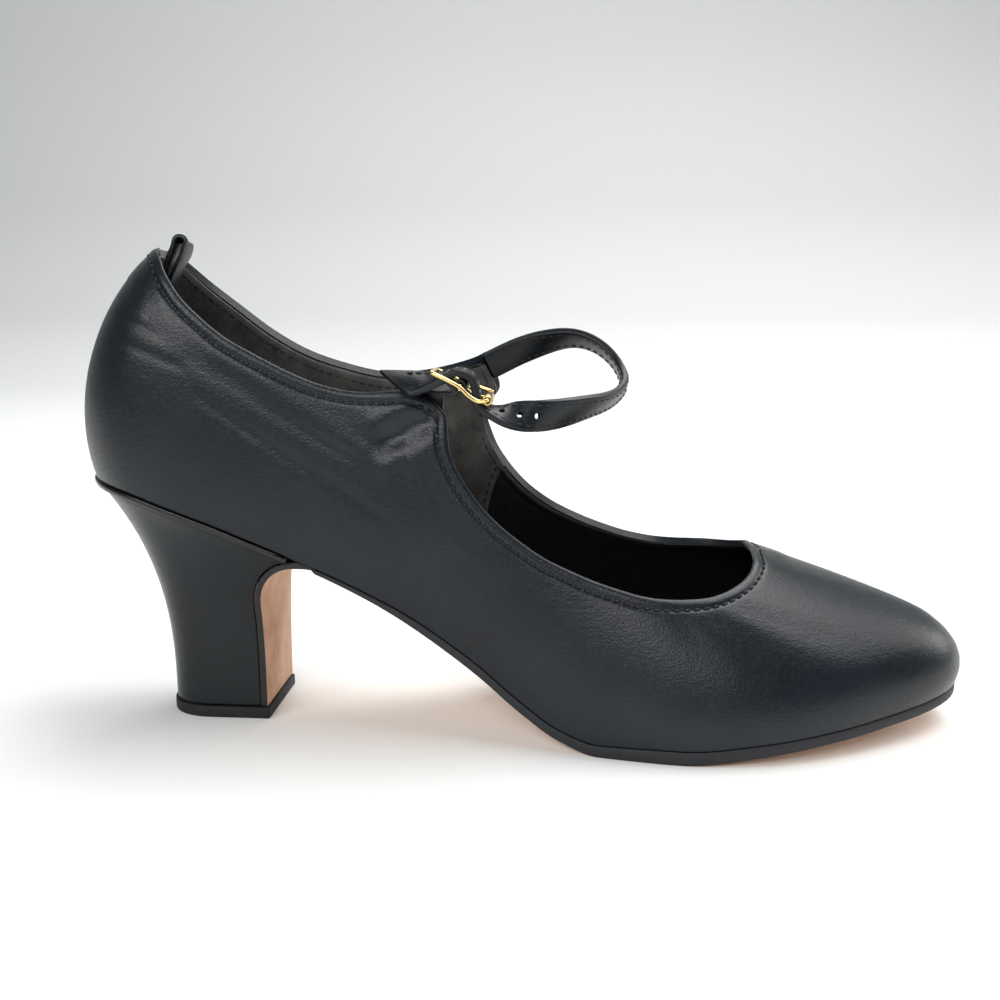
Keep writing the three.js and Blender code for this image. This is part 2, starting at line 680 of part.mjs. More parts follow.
// The sole from the breast's corner to the toe, and the flap that runs on down the breast.
function outsoleSolid() {
  const places = stationPlaces(STATIONS).filter(x => x > corner.end + GAP);
  const from = [corner.end, ...places];
  const rim = (side, x, height) => {
    const { point } = planPoint(side, x);
    point.z = height(x);
    return point;
  };
  const top = x => featherHeight(x) - GAP;
  const ring = height => [
    ...from.map(x => rim('outer', x, height)),
    ...from.slice(0, -1).reverse().map(x => rim('inner', x, height)),
  ];
  const rings = [ring(bottomHeight), ring(top)];
  const count = rings[0].length;
  const faces = ringFaces(count, 2);
  for (let i = 0; i < (count - 1) / 2; i++) {
    const [a, b, c, d] = [i, i + 1, count - 1 - i, count - 2 - i];
    faces.push([a, c, b], [count + a, count + b, count + c]);
    if (b !== d) faces.push([b, c, d], [count + b, count + d, count + c]);
  }
  const sole = solidFrom(rings.flat(), faces);
  const inner = breastLine(0);
  const outer = breastLine(FLAP_THICKNESS);
  const sheet = acrossSolid([...inner, ...outer.reverse()], -BALL_WIDTH, BALL_WIDTH);
  const flap = heelBlock().intersect(sheet);
  return sole.add(flap);
}

// A rod between two places, and the ball that rounds a joint of rods.
function rod(start, end, diameter) {
  const run = end.clone().sub(start);
  const geometry = new THREE.CylinderGeometry(diameter / 2, diameter / 2, run.length(), BAR_SIDES);
  geometry.applyQuaternion(new THREE.Quaternion().setFromUnitVectors(
    new THREE.Vector3(0, 1, 0),
    run.clone().normalize(),
  ));
  geometry.translate(...start.clone().add(end).multiplyScalar(0.5).toArray());
  return toSolid(geometry);
}
function ball(place, diameter) {
  const geometry = new THREE.SphereGeometry(diameter / 2, BAR_SIDES, BAR_SIDES / 2);
  geometry.translate(...place.toArray());
  return toSolid(geometry);
}
function joined(solids) {
  return solids.reduce((all, solid) => all.add(solid));
}

// A flat strip along places, each with the direction of its width.
function stripSolid(places, acrosses, width, thickness) {
  const rings = places.map((place, i) => {
    const before = places[Math.max(i - 1, 0)];
    const after = places[Math.min(i + 1, places.length - 1)];
    const run = after.clone().sub(before).normalize();
    const across = acrosses[i].clone().addScaledVector(run, -acrosses[i].dot(run)).normalize();
    const face = across.clone().cross(run);
    const corner = (w, f) => place.clone()
      .addScaledVector(across, w * width / 2)
      .addScaledVector(face, f * thickness / 2);
    return [corner(-1, -1), corner(1, -1), corner(1, 1), corner(-1, 1)];
  });
  const faces = ringFaces(4, rings.length);
  const last = 4 * (rings.length - 1);
  faces.push([0, 3, 2], [0, 2, 1], [last, last + 1, last + 2], [last, last + 2, last + 3]);
  return solidFrom(rings.flat(), faces.map(([a, b, c]) => [a, c, b]));
}

// Height of a place on an upper edge's table.
function edgeHeight(row) {
  return featherHeight(row.at * LENGTH) + row.rise * BACK_HEIGHT;
}

// Middle height of the inner quarter's cut end, where the strap begins.
const cutEnd = [INNER_COLLAR[INNER_COLLAR.length - 1], INNER_THROAT[0]];
const strapRootHeight = (edgeHeight(cutEnd[0]) + edgeHeight(cutEnd[1])) / 2;

// The buckle's own frame: along runs down its frame to the toe, over stands off its face, and the
// bars lie across, along y.
const buckleCentre = new THREE.Vector3(
  BUCKLE.at * LENGTH,
  BUCKLE.side * BALL_WIDTH,
  strapRootHeight + BUCKLE.over * BACK_HEIGHT,
);
const fall = THREE.MathUtils.degToRad(BUCKLE.fall);
const alongAxis = new THREE.Vector3(Math.cos(fall), 0, -Math.sin(fall));
const overAxis = new THREE.Vector3(Math.sin(fall), 0, Math.cos(fall));
function buckleSpot(along, over, side = 0) {
  return buckleCentre.clone()
    .addScaledVector(alongAxis, along)
    .addScaledVector(overAxis, over)
    .add(new THREE.Vector3(0, side, 0));
}
const RAIL_OFFSET = STRAP_WIDTH / 2 + FRAME_SIDE_CLEARANCE + BAR_DIAMETER / 2;
const UNDER_ROLLER = ROLLER_DIAMETER / 2 + SLACK + STRAP_THICKNESS / 2;
const LOOP_OUTER = BAR_DIAMETER / 2 + GAP + TAB_THICKNESS;
const OVER_LOOP = LOOP_OUTER + SLACK + STRAP_THICKNESS / 2;

// The strap's centre line: the loop, then under the roller, over the centre bar, under the back
// bar, and the tail that lies back over the outer quarter.
function strapRows() {
  const loop = STRAP_LOOP.map(row => ({
    place: new THREE.Vector3(
      row.at * LENGTH,
      row.side * BALL_WIDTH,
      strapRootHeight + row.over * BACK_HEIGHT,
    ),
    lean: row.lean,
  }));
  const buckle = STRAP_BUCKLE.map(row => ({
    place: buckleSpot(row.along * BAR_SPACING, row.over * OVER_LOOP, row.side * STRAP_WIDTH),
    lean: row.lean,
  }));
  return [...loop, ...buckle];
}
function strapLine(steps) {
  const rows = strapRows();
  const curve = new THREE.CatmullRomCurve3(rows.map(row => row.place), false, 'centripetal');
  const places = [];
  const acrosses = [];
  for (let i = 0; i <= steps; i++) {
    const t = i / steps;
    const place = curve.getPoint(t);
    const run = curve.getTangent(t);
    const row = Math.min(Math.floor(t * (rows.length - 1)), rows.length - 2);
    const lean = THREE.MathUtils.degToRad(
      THREE.MathUtils.lerp(rows[row].lean, rows[row + 1].lean, t * (rows.length - 1) - row),
    );
    const outward = new THREE.Vector3(-run.z, 0, run.x).normalize();
    const near = run.clone().cross(outward);
    places.push(place);
    acrosses.push(outward.multiplyScalar(Math.cos(lean)).addScaledVector(near, Math.sin(lean)));
  }
  return { curve, places, acrosses };
}
const STRAP_STEPS = 100;
const PRONG_START = [PRONG_DIAMETER, PRONG_DIAMETER * 1.2];
const PRONG_END = [BAR_SPACING * 1.04, ROLLER_DIAMETER / 2 + SLACK + PRONG_DIAMETER / 2];
function strapSolid() {
  const { places, acrosses } = strapLine(STRAP_STEPS);
  let strap = stripSolid(places, acrosses, STRAP_WIDTH, STRAP_THICKNESS);
  const prongHole = rod(
    buckleSpot(PRONG_START[0], PRONG_START[1]),
    buckleSpot(PRONG_END[0], PRONG_END[1]),
    PRONG_DIAMETER + 4 * GAP,
  );
  strap = strap.subtract(prongHole);
  for (const { place, face } of holePlaces()) {
    const reach = face.clone().multiplyScalar(2 * STRAP_THICKNESS);
    strap = strap.subtract(rod(place.clone().sub(reach), place.clone().add(reach), HOLE_DIAMETER));
  }
  return strap;
}

// The unused holes lie along the strap at the hole pitch, from the first one ahead of the roller.
const HOLE_COUNT = 3;
function holePlaces() {
  const { places, acrosses } = strapLine(STRAP_STEPS * 4);
  const roller = buckleSpot(BAR_SPACING, -UNDER_ROLLER);
  let start = 0;
  places.forEach((place, i) => {
    if (place.distanceTo(roller) < places[start].distanceTo(roller)) start = i;
  });
  const found = [];
  let walked = 0;
  for (let i = start; i > 0 && found.length < HOLE_COUNT; i--) {
    walked += places[i].distanceTo(places[i - 1]);
    if (walked >= FIRST_HOLE_AT + found.length * HOLE_PITCH) {
      const run = places[i].clone().sub(places[i - 1]).normalize();
      found.push({ place: places[i], face: acrosses[i].clone().cross(run) });
    }
  }
  return found;
}

// A flat ring across the buckle, about a bar at along = at.
function ringAcross(at, inner, outer, start, end) {
  const shape = new THREE.Shape().absarc(0, 0, outer, 0, 2 * Math.PI);
  shape.holes.push(new THREE.Path().absarc(0, 0, inner, 0, 2 * Math.PI, true));
  const options = { depth: end - start, bevelEnabled: false, curveSegments: BAR_SIDES };
  const geometry = new THREE.ExtrudeGeometry(shape, options);
  geometry.rotateX(Math.PI / 2);
  geometry.translate(0, end, 0);
  geometry.translate(...buckleSpot(at, 0).toArray());
  return toSolid(geometry);
}

function buckleFrameSolid() {
  const parts = [];
  for (const side of [-RAIL_OFFSET, RAIL_OFFSET]) {
    const spots = RAIL.map(({ along, dip }) => {
      return buckleSpot(along * BAR_SPACING, -dip * ROLLER_DIAMETER, side);
    });
    spots.forEach((spot, i) => {
      parts.push(ball(spot, BAR_DIAMETER));
      if (i > 0) parts.push(rod(spots[i - 1], spot, BAR_DIAMETER));
    });
  }
  for (const at of [-BAR_SPACING, 0, BAR_SPACING]) {
    parts.push(rod(buckleSpot(at, 0, -RAIL_OFFSET), buckleSpot(at, 0, RAIL_OFFSET), BAR_DIAMETER));
  }
  return joined(parts);
}
function buckleRollerSolid() {
  const half = RAIL_OFFSET - BAR_DIAMETER / 2 - GAP;
  return ringAcross(BAR_SPACING, BAR_DIAMETER / 2 + GAP, ROLLER_DIAMETER / 2, -half, half);
}
function buckleProngSolid() {
  const eye = ringAcross(0, BAR_DIAMETER / 2 + GAP, LOOP_OUTER, -PRONG_DIAMETER / 2, PRONG_DIAMETER / 2);
  const start = buckleSpot(PRONG_START[0], PRONG_START[1]);
  const end = buckleSpot(PRONG_END[0], PRONG_END[1]);
  return joined([eye, rod(start, end, PRONG_DIAMETER), ball(end, PRONG_DIAMETER)]);
}

// The leather tab that holds the centre bar: a loop with a slot for the prong, and a tongue that
// goes over the quarter's upper edge and down its inside.
function buckleTabSolid() {
  const inner = BAR_DIAMETER / 2 + GAP;
  const loop = ringAcross(0, inner, LOOP_OUTER, -TAB_WIDTH / 2, TAB_WIDTH / 2);
  const places = TONGUE.map(({ back, side, down }) => {
    const step = new THREE.Vector3(-back, side, -down);
    return buckleCentre.clone().addScaledVector(step, TAB_LENGTH);
  });
  const acrosses = TONGUE.map(row => new THREE.Vector3(row.ahead, row.across, 0).normalize());
  const curve = new THREE.CatmullRomCurve3(places, false, 'centripetal');
  const directions = new THREE.CatmullRomCurve3(acrosses, false, 'centripetal');
  const steps = 20;
  const tongue = stripSolid(curve.getPoints(steps), directions.getPoints(steps), TAB_WIDTH, TAB_THICKNESS);
  const bar = rod(buckleSpot(0, 0, -TAB_WIDTH), buckleSpot(0, 0, TAB_WIDTH), 2 * inner);
  const slot = ringAcross(0, inner / 2, 2 * LOOP_OUTER, -TAB_SLOT / 2, TAB_SLOT / 2);
  return loop.add(tongue).subtract(bar).subtract(slot);
}

// The pull tab: a strip that comes up inside the centre back, folds over forward and goes down again.
function pullTabSolid() {
  const collarHeight = edgeHeight(OUTER_COLLAR[0]);
  const wall = ribCurve('outer', HEEL_END, WALL, 0).getPoints(STATIONS * LEVELS);
  const inside = wall.find(point => point.z > collarHeight).x;
  const points = PULL_TAB.map(({ ahead, up }) => new THREE.Vector3(
    inside + ahead * PULL_TAB_LENGTH,
    0,
    collarHeight + up * PULL_TAB_LENGTH,
  ));
  const places = new THREE.CatmullRomCurve3(points, false, 'centripetal').getPoints(24);
  const acrosses = places.map(place => {
    const raised = THREE.MathUtils.clamp((place.z - collarHeight) / PULL_TAB_LENGTH + 0.5, 0, 0.5);
    return new THREE.Vector3(0, 1, -raised);
  });
  return stripSolid(places, acrosses, PULL_TAB_WIDTH, PULL_TAB_THICKNESS);
}

const blackLeather = { color: 0x1c1d20, roughness: 0.45, metalness: 0 };
const tanLeather = { color: 0xc9a184, roughness: 0.7, metalness: 0 };
const blackRubber = { color: 0x17171a, roughness: 0.8, metalness: 0 };
const liningSuede = { color: 0x34312f, roughness: 0.95, metalness: 0 };
const goldBrass = { color: 0xd9b56a, roughness: 0.25, metalness: 1 };

const shoe = new THREE.Group();
function addPiece(name, solid, finish) {
  const { vertProperties, triVerts } = solid.getMesh();
  const geometry = new THREE.BufferGeometry();
  geometry.setAttribute('position', new THREE.BufferAttribute(new Float32Array(vertProperties), 3));
  geometry.setIndex(new THREE.BufferAttribute(new Uint32Array(triVerts), 1));
  geometry.computeVertexNormals();
  const mesh = new THREE.Mesh(geometry, new THREE.MeshStandardMaterial(finish));
  mesh.name = name;
  shoe.add(mesh);
}
addPiece('outsole', outsoleSolid(), tanLeather);
addPiece('heel', heelSolid(), blackLeather);
addPiece('top_piece', topPieceSolid(), blackRubber);
addPiece('upper', upperSolid(), blackLeather);
addPiece('insole', insoleSolid(), liningSuede);
addPiece('strap', strapSolid(), blackLeather);
addPiece('buckle_tab', buckleTabSolid(), blackLeather);
addPiece('buckle_frame', buckleFrameSolid(), goldBrass);
addPiece('buckle_roller', buckleRollerSolid(), goldBrass);
addPiece('buckle_prong', buckleProngSolid(), goldBrass);
addPiece('pull_tab', pullTabSolid(), blackLeather);

// The origin is on the floor under the middle of the shoe's bounding box.
const box = new THREE.Box3().setFromObject(shoe);
const middle = box.getCenter(new THREE.Vector3());
shoe.position.set(-middle.x, -middle.y, -box.min.z);

export default shoe;
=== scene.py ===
import math

import bmesh
import bpy
from mathutils import Matrix, Vector

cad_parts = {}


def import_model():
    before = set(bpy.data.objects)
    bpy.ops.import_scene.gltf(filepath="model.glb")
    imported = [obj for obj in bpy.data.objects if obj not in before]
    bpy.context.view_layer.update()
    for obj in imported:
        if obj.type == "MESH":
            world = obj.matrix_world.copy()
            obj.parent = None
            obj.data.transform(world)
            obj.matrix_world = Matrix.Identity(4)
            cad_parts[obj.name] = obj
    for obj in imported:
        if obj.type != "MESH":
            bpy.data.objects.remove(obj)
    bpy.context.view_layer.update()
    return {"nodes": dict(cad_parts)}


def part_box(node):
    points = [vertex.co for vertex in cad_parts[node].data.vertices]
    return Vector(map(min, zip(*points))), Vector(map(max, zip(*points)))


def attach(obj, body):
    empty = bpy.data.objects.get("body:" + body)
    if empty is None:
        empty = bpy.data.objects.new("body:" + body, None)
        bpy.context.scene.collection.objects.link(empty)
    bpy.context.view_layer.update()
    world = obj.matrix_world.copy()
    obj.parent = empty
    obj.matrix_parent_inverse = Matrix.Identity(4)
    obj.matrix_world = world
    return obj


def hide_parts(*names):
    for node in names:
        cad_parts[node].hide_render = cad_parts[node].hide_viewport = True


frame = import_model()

# Looks of a black leather character shoe for the right foot: a pump-shaped upper with an instep
# strap, a covered heel and a thin leather sole. Shapes are worked out in millimetres in the shoe's
# own frame, whose x starts at the back of the heel seat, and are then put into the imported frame.
# Names with FROM, AT or DEPTH and no comment are millimetres as well.
MM = 0.001
SIDES = ("outer", "inner")

LENGTH = 245
BALL_WIDTH = 78
SEAT_HEIGHT = 67.7
TOE_SPRING = 9.6
BACK_HEIGHT = 62
WALL = 2
SOLE_EDGE = 4
GAP = 0.3
BREAST_AT = 51.6
BREAST_RADIUS = 12
FLAP_THICKNESS = 1.8
TOP_PIECE_THICKNESS = 3.2
TOP_PIECE_WIDTH = 28.5
TOP_PIECE_LENGTH = 29.4
TOP_PIECE_LIP = 0.5
HEEL_CORNER = 14
HEEL_RIM = 0.5
HEEL_TUCK = 1
HEEL_RIM_HEIGHT = 1.8
HEEL_FLARE = 2.7
STRAP_WIDTH = 7.9
STRAP_THICKNESS = 1.9
BAR_DIAMETER = 1.1
BAR_SPACING = 7.7
FRAME_SIDE_CLEARANCE = 0.6
ROLLER_DIAMETER = 2.6
PRONG_DIAMETER = 0.9
TAB_LENGTH = 12
TAB_THICKNESS = 0.9
PULL_TAB_LENGTH = 17
PULL_TAB_WIDTH = 6.4
PULL_TAB_THICKNESS = 1.1

# Plan outline once round from the centre back along the outer side: share of LENGTH, share of
# BALL_WIDTH.
OUTLINE = [
    (0.007, 0.000), (0.026, -0.160), (0.062, -0.275), (0.117, -0.334), (0.196, -0.346),
    (0.297, -0.323), (0.399, -0.328), (0.501, -0.380), (0.603, -0.460), (0.691, -0.500),
    (0.767, -0.480), (0.836, -0.410), (0.897, -0.302), (0.946, -0.195), (0.973, -0.110),
    (0.987, -0.025), (0.992, 0.062), (0.987, 0.155), (0.972, 0.240), (0.942, 0.322),
    (0.877, 0.415), (0.801, 0.475), (0.721, 0.490), (0.641, 0.465), (0.562, 0.395),
    (0.460, 0.285), (0.379, 0.245), (0.297, 0.256), (0.215, 0.306), (0.126, 0.335),
    (0.062, 0.277), (0.026, 0.160),
]
# Underside: share of LENGTH, then shares of SEAT_HEIGHT, TOE_SPRING and SOLE_EDGE.
BOTTOM = [
    (0.000, 1.000, 0.00, 0.00), (0.040, 0.987, 0.00, 0.00), (0.075, 0.966, 0.00, 0.00),
    (0.113, 0.926, 0.00, 0.00), (0.154, 0.876, 0.00, 0.00), (0.195, 0.818, 0.00, 0.00),
    (0.228, 0.758, 0.00, 0.15), (0.260, 0.694, 0.00, 0.33), (0.297, 0.631, 0.00, 0.40),
    (0.340, 0.551, 0.00, 0.48), (0.372, 0.483, 0.00, 0.62), (0.415, 0.380, 0.00, 0.74),
    (0.459, 0.266, 0.00, 0.80), (0.503, 0.138, 0.00, 0.82), (0.544, 0.045, 0.00, 0.80),
    (0.587, 0.000, 0.00, 0.85), (0.671, 0.000, 0.00, 0.98), (0.750, 0.000, 0.23, 0.90),
    (0.815, 0.000, 0.45, 0.80), (0.885, 0.000, 0.64, 0.76), (0.938, 0.000, 0.78, 0.74),
    (1.000, 0.000, 1.00, 0.72),
]
# Ribs of the last: share of LENGTH at the foot and at the top, rise, side of the top, bulge,
# shoulder, reach and drop.
RIBS = [
    (0.010, 0.233, 1.250, 0.00, 0.092, 0.28, 0.98, 0.14),
    (0.040, 0.240, 1.260, 0.00, 0.078, 0.28, 1.00, 0.12),
    (0.113, 0.262, 1.330, 0.00, 0.070, 0.26, 0.94, 0.08),
    (0.204, 0.310, 1.420, 0.00, 0.072, 0.23, 0.82, 0.05),
    (0.306, 0.375, 1.420, 0.01, 0.070, 0.22, 0.90, 0.02),
    (0.408, 0.441, 1.440, 0.02, 0.070, 0.22, 1.00, 0.00),
    (0.510, 0.522, 1.350, 0.03, 0.065, 0.25, 0.80, 0.00),
    (0.612, 0.606, 1.120, 0.04, 0.050, 0.30, 0.62, 0.00),
    (0.700, 0.668, 0.900, 0.05, 0.035, 0.35, 0.56, 0.03),
    (0.776, 0.706, 0.768, 0.05, 0.040, 0.38, 0.53, 0.09),
    (0.845, 0.735, 0.690, 0.05, 0.055, 0.42, 0.55, 0.14),
    (0.906, 0.755, 0.620, 0.05, 0.075, 0.45, 0.54, 0.15),
    (0.955, 0.767, 0.573, 0.05, 0.090, 0.47, 0.54, 0.18),
    (0.996, 0.775, 0.535, 0.05, 0.095, 0.48, 0.54, 0.20),
]
# Topline of each side: share of LENGTH, height over the lower edge as a share of BACK_HEIGHT.
OUTER_COLLAR = [
    (0.042, 1.055), (0.098, 1.052), (0.113, 1.030), (0.120, 0.996), (0.126, 0.971),
    (0.142, 0.912), (0.163, 0.865), (0.192, 0.820), (0.223, 0.804), (0.259, 0.796),
    (0.290, 0.800), (0.325, 0.836), (0.358, 0.902), (0.378, 0.950), (0.396, 0.975),
    (0.410, 0.985),
]
OUTER_THROAT = [
    (0.423, 0.960), (0.425, 0.892), (0.427, 0.826), (0.433, 0.784), (0.441, 0.746),
    (0.459, 0.700), (0.480, 0.682), (0.501, 0.682), (0.528, 0.686), (0.554, 0.687),
    (0.580, 0.673), (0.605, 0.642), (0.630, 0.613), (0.658, 0.596), (0.698, 0.590),
    (0.714, 0.594), (0.730, 0.605), (0.741, 0.618), (0.750, 0.640), (0.756, 0.675),
    (0.759, 0.725), (0.760, 0.950),
]
INNER_COLLAR = [
    (0.042, 1.055), (0.094, 1.040), (0.105, 0.993), (0.120, 0.943), (0.150, 0.880),
    (0.193, 0.818), (0.239, 0.800), (0.287, 0.827), (0.333, 0.879), (0.377, 0.980),
    (0.408, 1.081), (0.440, 1.206), (0.451, 1.261),
]
INNER_THROAT = [
    (0.466, 1.183), (0.467, 1.140), (0.454, 1.028), (0.451, 0.957), (0.456, 0.900),
    (0.463, 0.850), (0.475, 0.812), (0.490, 0.786), (0.506, 0.773), (0.529, 0.771),
    (0.559, 0.765), (0.590, 0.738), (0.616, 0.700), (0.648, 0.672), (0.675, 0.668),
    (0.706, 0.666), (0.729, 0.660), (0.745, 0.662), (0.756, 0.680), (0.759, 0.725),
    (0.760, 0.950),
]

EDGES = {"outer": (OUTER_COLLAR, OUTER_THROAT), "inner": (INNER_COLLAR, INNER_THROAT)}

# Shift from the shoe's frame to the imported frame, found on the heel's top piece.
top_low, top_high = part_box("top_piece")
SHIFT = Vector((
    top_high.x / MM - BREAST_AT - TOP_PIECE_LIP,
    (top_low.y + top_high.y) / 2 / MM,
    0,
))


def clamped(value, low, high):
    return min(max(value, low), high)


def ease(share):
    share = clamped(share, 0, 1)
    return share * share * (3 - 2 * share)


def last_where(holds, low, high, steps=30):
    """Halves its way to the last place between low and high for which holds is true."""
    for _ in range(steps):
        middle = (low + high) / 2
        if holds(middle):
            low = middle
        else:
            high = middle
    return low


def column(rows, key):
    """Smooth curve through one column of a table, flat between equal values."""
    places = [row[0] for row in rows]
    values = [row[key] for row in rows]
    grades = [
        (values[i + 1] - values[i]) / (places[i + 1] - places[i]) for i in range(len(rows) - 1)
    ]
    slopes = [grades[0]]
    for before, after in zip(grades, grades[1:]):
        slopes.append(0 if before * after <= 0 else 2 * before * after / (before + after))
    slopes.append(grades[-1])

    def value(at):
        i = 0
        while i < len(rows) - 2 and at > places[i + 1]:
            i += 1
        width = places[i + 1] - places[i]
        t = clamped((at - places[i]) / width, 0, 1)
        start = (1 + 2 * t) * (1 - t) ** 2 * values[i] + t * (1 - t) ** 2 * width * slopes[i]
        end = t * t * (3 - 2 * t) * values[i + 1] + t * t * (t - 1) * width * slopes[i + 1]
        return start + end

    return value


def threaded(points, steps, closed=False):
    """Centripetal spline through points, as steps + 1 points."""
    count = len(points)
    spans = count if closed else count - 1
    found = []
    for n in range(steps + 1):
        along = spans * n / steps
        i = min(int(along), spans - 1)
        t = along - i
        if closed:
            a, b, c, d = [points[(i + k) % count] for k in (-1, 0, 1, 2)]
        else:
            b, c = points[i], points[i + 1]
            a = points[i - 1] if i > 0 else 2 * b - c
            d = points[i + 2] if i + 2 < count else 2 * c - b
        gap = [max((q - p).length_squared ** 0.25, 1e-4) for p, q in ((a, b), (b, c), (c, d))]
        out_b = ((b - a) / gap[0] - (c - a) / (gap[0] + gap[1]) + (c - b) / gap[1]) * gap[1]
        out_c = ((c - b) / gap[1] - (d - b) / (gap[1] + gap[2]) + (d - c) / gap[2]) * gap[1]
        bend = 2 * b - 2 * c + out_b + out_c
        lean = -3 * b + 3 * c - 2 * out_b - out_c
        found.append(b + out_b * t + lean * t * t + bend * t ** 3)
    return found


arch_share, spring_share, edge_share = [column(BOTTOM, key) for key in (1, 2, 3)]
rib_columns = [column(RIBS, key) for key in range(1, 8)]


def bottom_height(x):
    return SEAT_HEIGHT * arch_share(x / LENGTH) + TOE_SPRING * spring_share(x / LENGTH)


def feather_height(x):
    return bottom_height(x) + SOLE_EDGE * edge_share(x / LENGTH)


def edge_height(row):
    return feather_height(row[0] * LENGTH) + row[1] * BACK_HEIGHT


def plan_sides():
    """The plan outline, split at its back and front ends."""
    rows = [Vector((at * LENGTH, side * BALL_WIDTH, 0)) for at, side in OUTLINE]
    points = threaded(rows, 600, closed=True)[:-1]
    back = min(range(len(points)), key=lambda i: points[i].x)
    ordered = points[back:] + points[:back] + [points[back]]
    front = max(range(len(ordered)), key=lambda i: ordered[i].x)
    return {"outer": ordered[:front + 1], "inner": ordered[front:][::-1]}


sides = plan_sides()
HEEL_END = sides["outer"][0].x
TOE_END = sides["outer"][-1].x


def plan_point(side, x):
    """Point of the outline at x on one side, with its outward direction."""
    points = sides[side]
    low, high = 0, len(points) - 2
    while low < high:
        middle = (low + high + 1) // 2
        if points[middle].x < x:
            low = middle
        else:
            high = middle - 1
    a, b = points[low], points[low + 1]
    t = clamped((x - a.x) / max(b.x - a.x, 1e-6), 0, 1)
    run = (b - a).normalized()
    turn = 1 if side == "outer" else -1
    outward = Vector((run.y * turn, -run.x * turn, 0))
    if x <= HEEL_END:
        outward = Vector((-1, 0, 0))
    if x >= TOE_END:
        outward = Vector((1, 0, 0))
    return a.lerp(b, t), outward


rib_store = {}


def rib(side, x, inset=0):
    """Four control points of one rib of the last."""
    key = (side, round(x, 4), inset)
    if key in rib_store:
        return rib_store[key]
    at = x / LENGTH
    top_at, rise, top_side, bulge, shoulder, reach, drop = [part(at) for part in rib_columns]
    point, outward = plan_point(side, x)
    foot = point - outward * inset
    foot.z = feather_height(x)
    top = Vector((
        top_at * LENGTH,
        top_side * BALL_WIDTH,
        feather_height(x) + rise * BACK_HEIGHT - inset,
    ))
    height = top.z - foot.z
    swell = foot + outward * bulge * BALL_WIDTH
    swell.z = foot.z + shoulder * height
    crown = top.lerp(Vector((foot.x, foot.y, top.z)), reach)
    crown.z = top.z - drop * height
    rib_store[key] = (foot, swell, crown, top)
    return rib_store[key]


def last_point(side, x, t, inset=0):
    """Point of the last's surface on the rib at x, t of the way up."""
    a, b, c, d = rib(side, x, inset)
    s = 1 - t
    return a * s ** 3 + b * 3 * s * s * t + c * 3 * s * t * t + d * t ** 3


def edge_points(rows, steps):
    """Side view of one stretch of the topline."""
    return threaded([Vector((row[0] * LENGTH, 0, edge_height(row))) for row in rows], steps)


def run_lengths(points):
    total = [0]
    for a, b in zip(points, points[1:]):
        total.append(total[-1] + (b - a).length)
    return total


def spot_along(points, lengths, distance):
    i = 0
    while i < len(points) - 2 and lengths[i + 1] < distance:
        i += 1
    span = max(lengths[i + 1] - lengths[i], 1e-9)
    return points[i].lerp(points[i + 1], clamped((distance - lengths[i]) / span, 0, 1))


def crossing(line, other):
    """First crossing of two side-view lines: index along the first, and the place."""
    for i, (a, b) in enumerate(zip(line, line[1:])):
        for c, d in zip(other, other[1:]):
            r, s = b - a, d - c
            det = r.x * s.z - r.z * s.x
            if abs(det) < 1e-9:
                continue
            t = ((c.x - a.x) * s.z - (c.z - a.z) * s.x) / det
            u = ((c.x - a.x) * r.z - (c.z - a.z) * r.x) / det
            if 0 <= t <= 1 and 0 <= u <= 1:
                return i, a + r * t
    return None


# The skin has this many columns a side, and its centre line is cut into this many steps.
COLUMNS = 190
CENTRE_STEPS = 60
ridge_line = [
    rib("outer", HEEL_END + (TOE_END - HEEL_END) * n / CENTRE_STEPS)[3].copy()
    for n in range(CENTRE_STEPS + 1)
]
centre_back = [last_point("outer", HEEL_END, n / CENTRE_STEPS) for n in range(CENTRE_STEPS + 1)]
for point in ridge_line + centre_back:
    point.y = 0
# How the search for a place on the last nudges and limits its steps, along x and up the rib.
NUDGE_X, NUDGE_T = 0.1, 0.001
FURTHEST_X, FURTHEST_T = 6, 0.08
FIRST_SHARE, LEAST_SHARE = 0.8, 0.02
TOE_MARGIN = 0.2
CLOSE_ENOUGH = 0.01


def topline(side):
    """Places on the topline of one side, evenly spaced: rib, share up it, and side-view point."""
    collar, throat = EDGES[side]
    line = edge_points(collar, 60) + edge_points(throat, 90)
    start, first = crossing(line, centre_back)
    line = [first] + line[start + 1:]
    half = len(line) // 2
    end, final = crossing(line[half:], ridge_line)
    line = line[:half + end + 1] + [final]
    lengths = run_lengths(line)
    found = []
    x, t = HEEL_END, FIRST_SHARE
    for n in range(COLUMNS + 1):
        goal = spot_along(line, lengths, lengths[-1] * n / COLUMNS)
        for _ in range(30):
            here = last_point(side, x, t)
            miss = Vector((goal.x - here.x, goal.z - here.z))
            if miss.length < CLOSE_ENOUGH:
                break
            step_x = last_point(side, min(x + NUDGE_X, TOE_END), t) - here
            step_t = last_point(side, x, t + NUDGE_T) - here
            a, b = step_x.x / NUDGE_X, step_t.x / NUDGE_T
            c, d = step_x.z / NUDGE_X, step_t.z / NUDGE_T
            det = a * d - b * c
            if abs(det) < 1e-6:
                break
            move_x = (miss.x * d - b * miss.y) / det
            move_t = (a * miss.y - c * miss.x) / det
            x += clamped(move_x, -FURTHEST_X, FURTHEST_X)
            t += clamped(move_t, -FURTHEST_T, FURTHEST_T)
            x, t = clamped(x, HEEL_END, TOE_END - TOE_MARGIN), clamped(t, LEAST_SHARE, 1)
        found.append((x, t, goal))
    return found


toplines = {side: topline(side) for side in SIDES}
front_x = (toplines["outer"][-1][2].x + toplines["inner"][-1][2].x) / 2
front_ridge = min(
    (rib("outer", HEEL_END + (TOE_END - HEEL_END) * n / 400)[3] for n in range(401)),
    key=lambda point: abs(point.x - front_x),
)
foot_runs = {side: run_lengths(sides[side]) for side in sides}


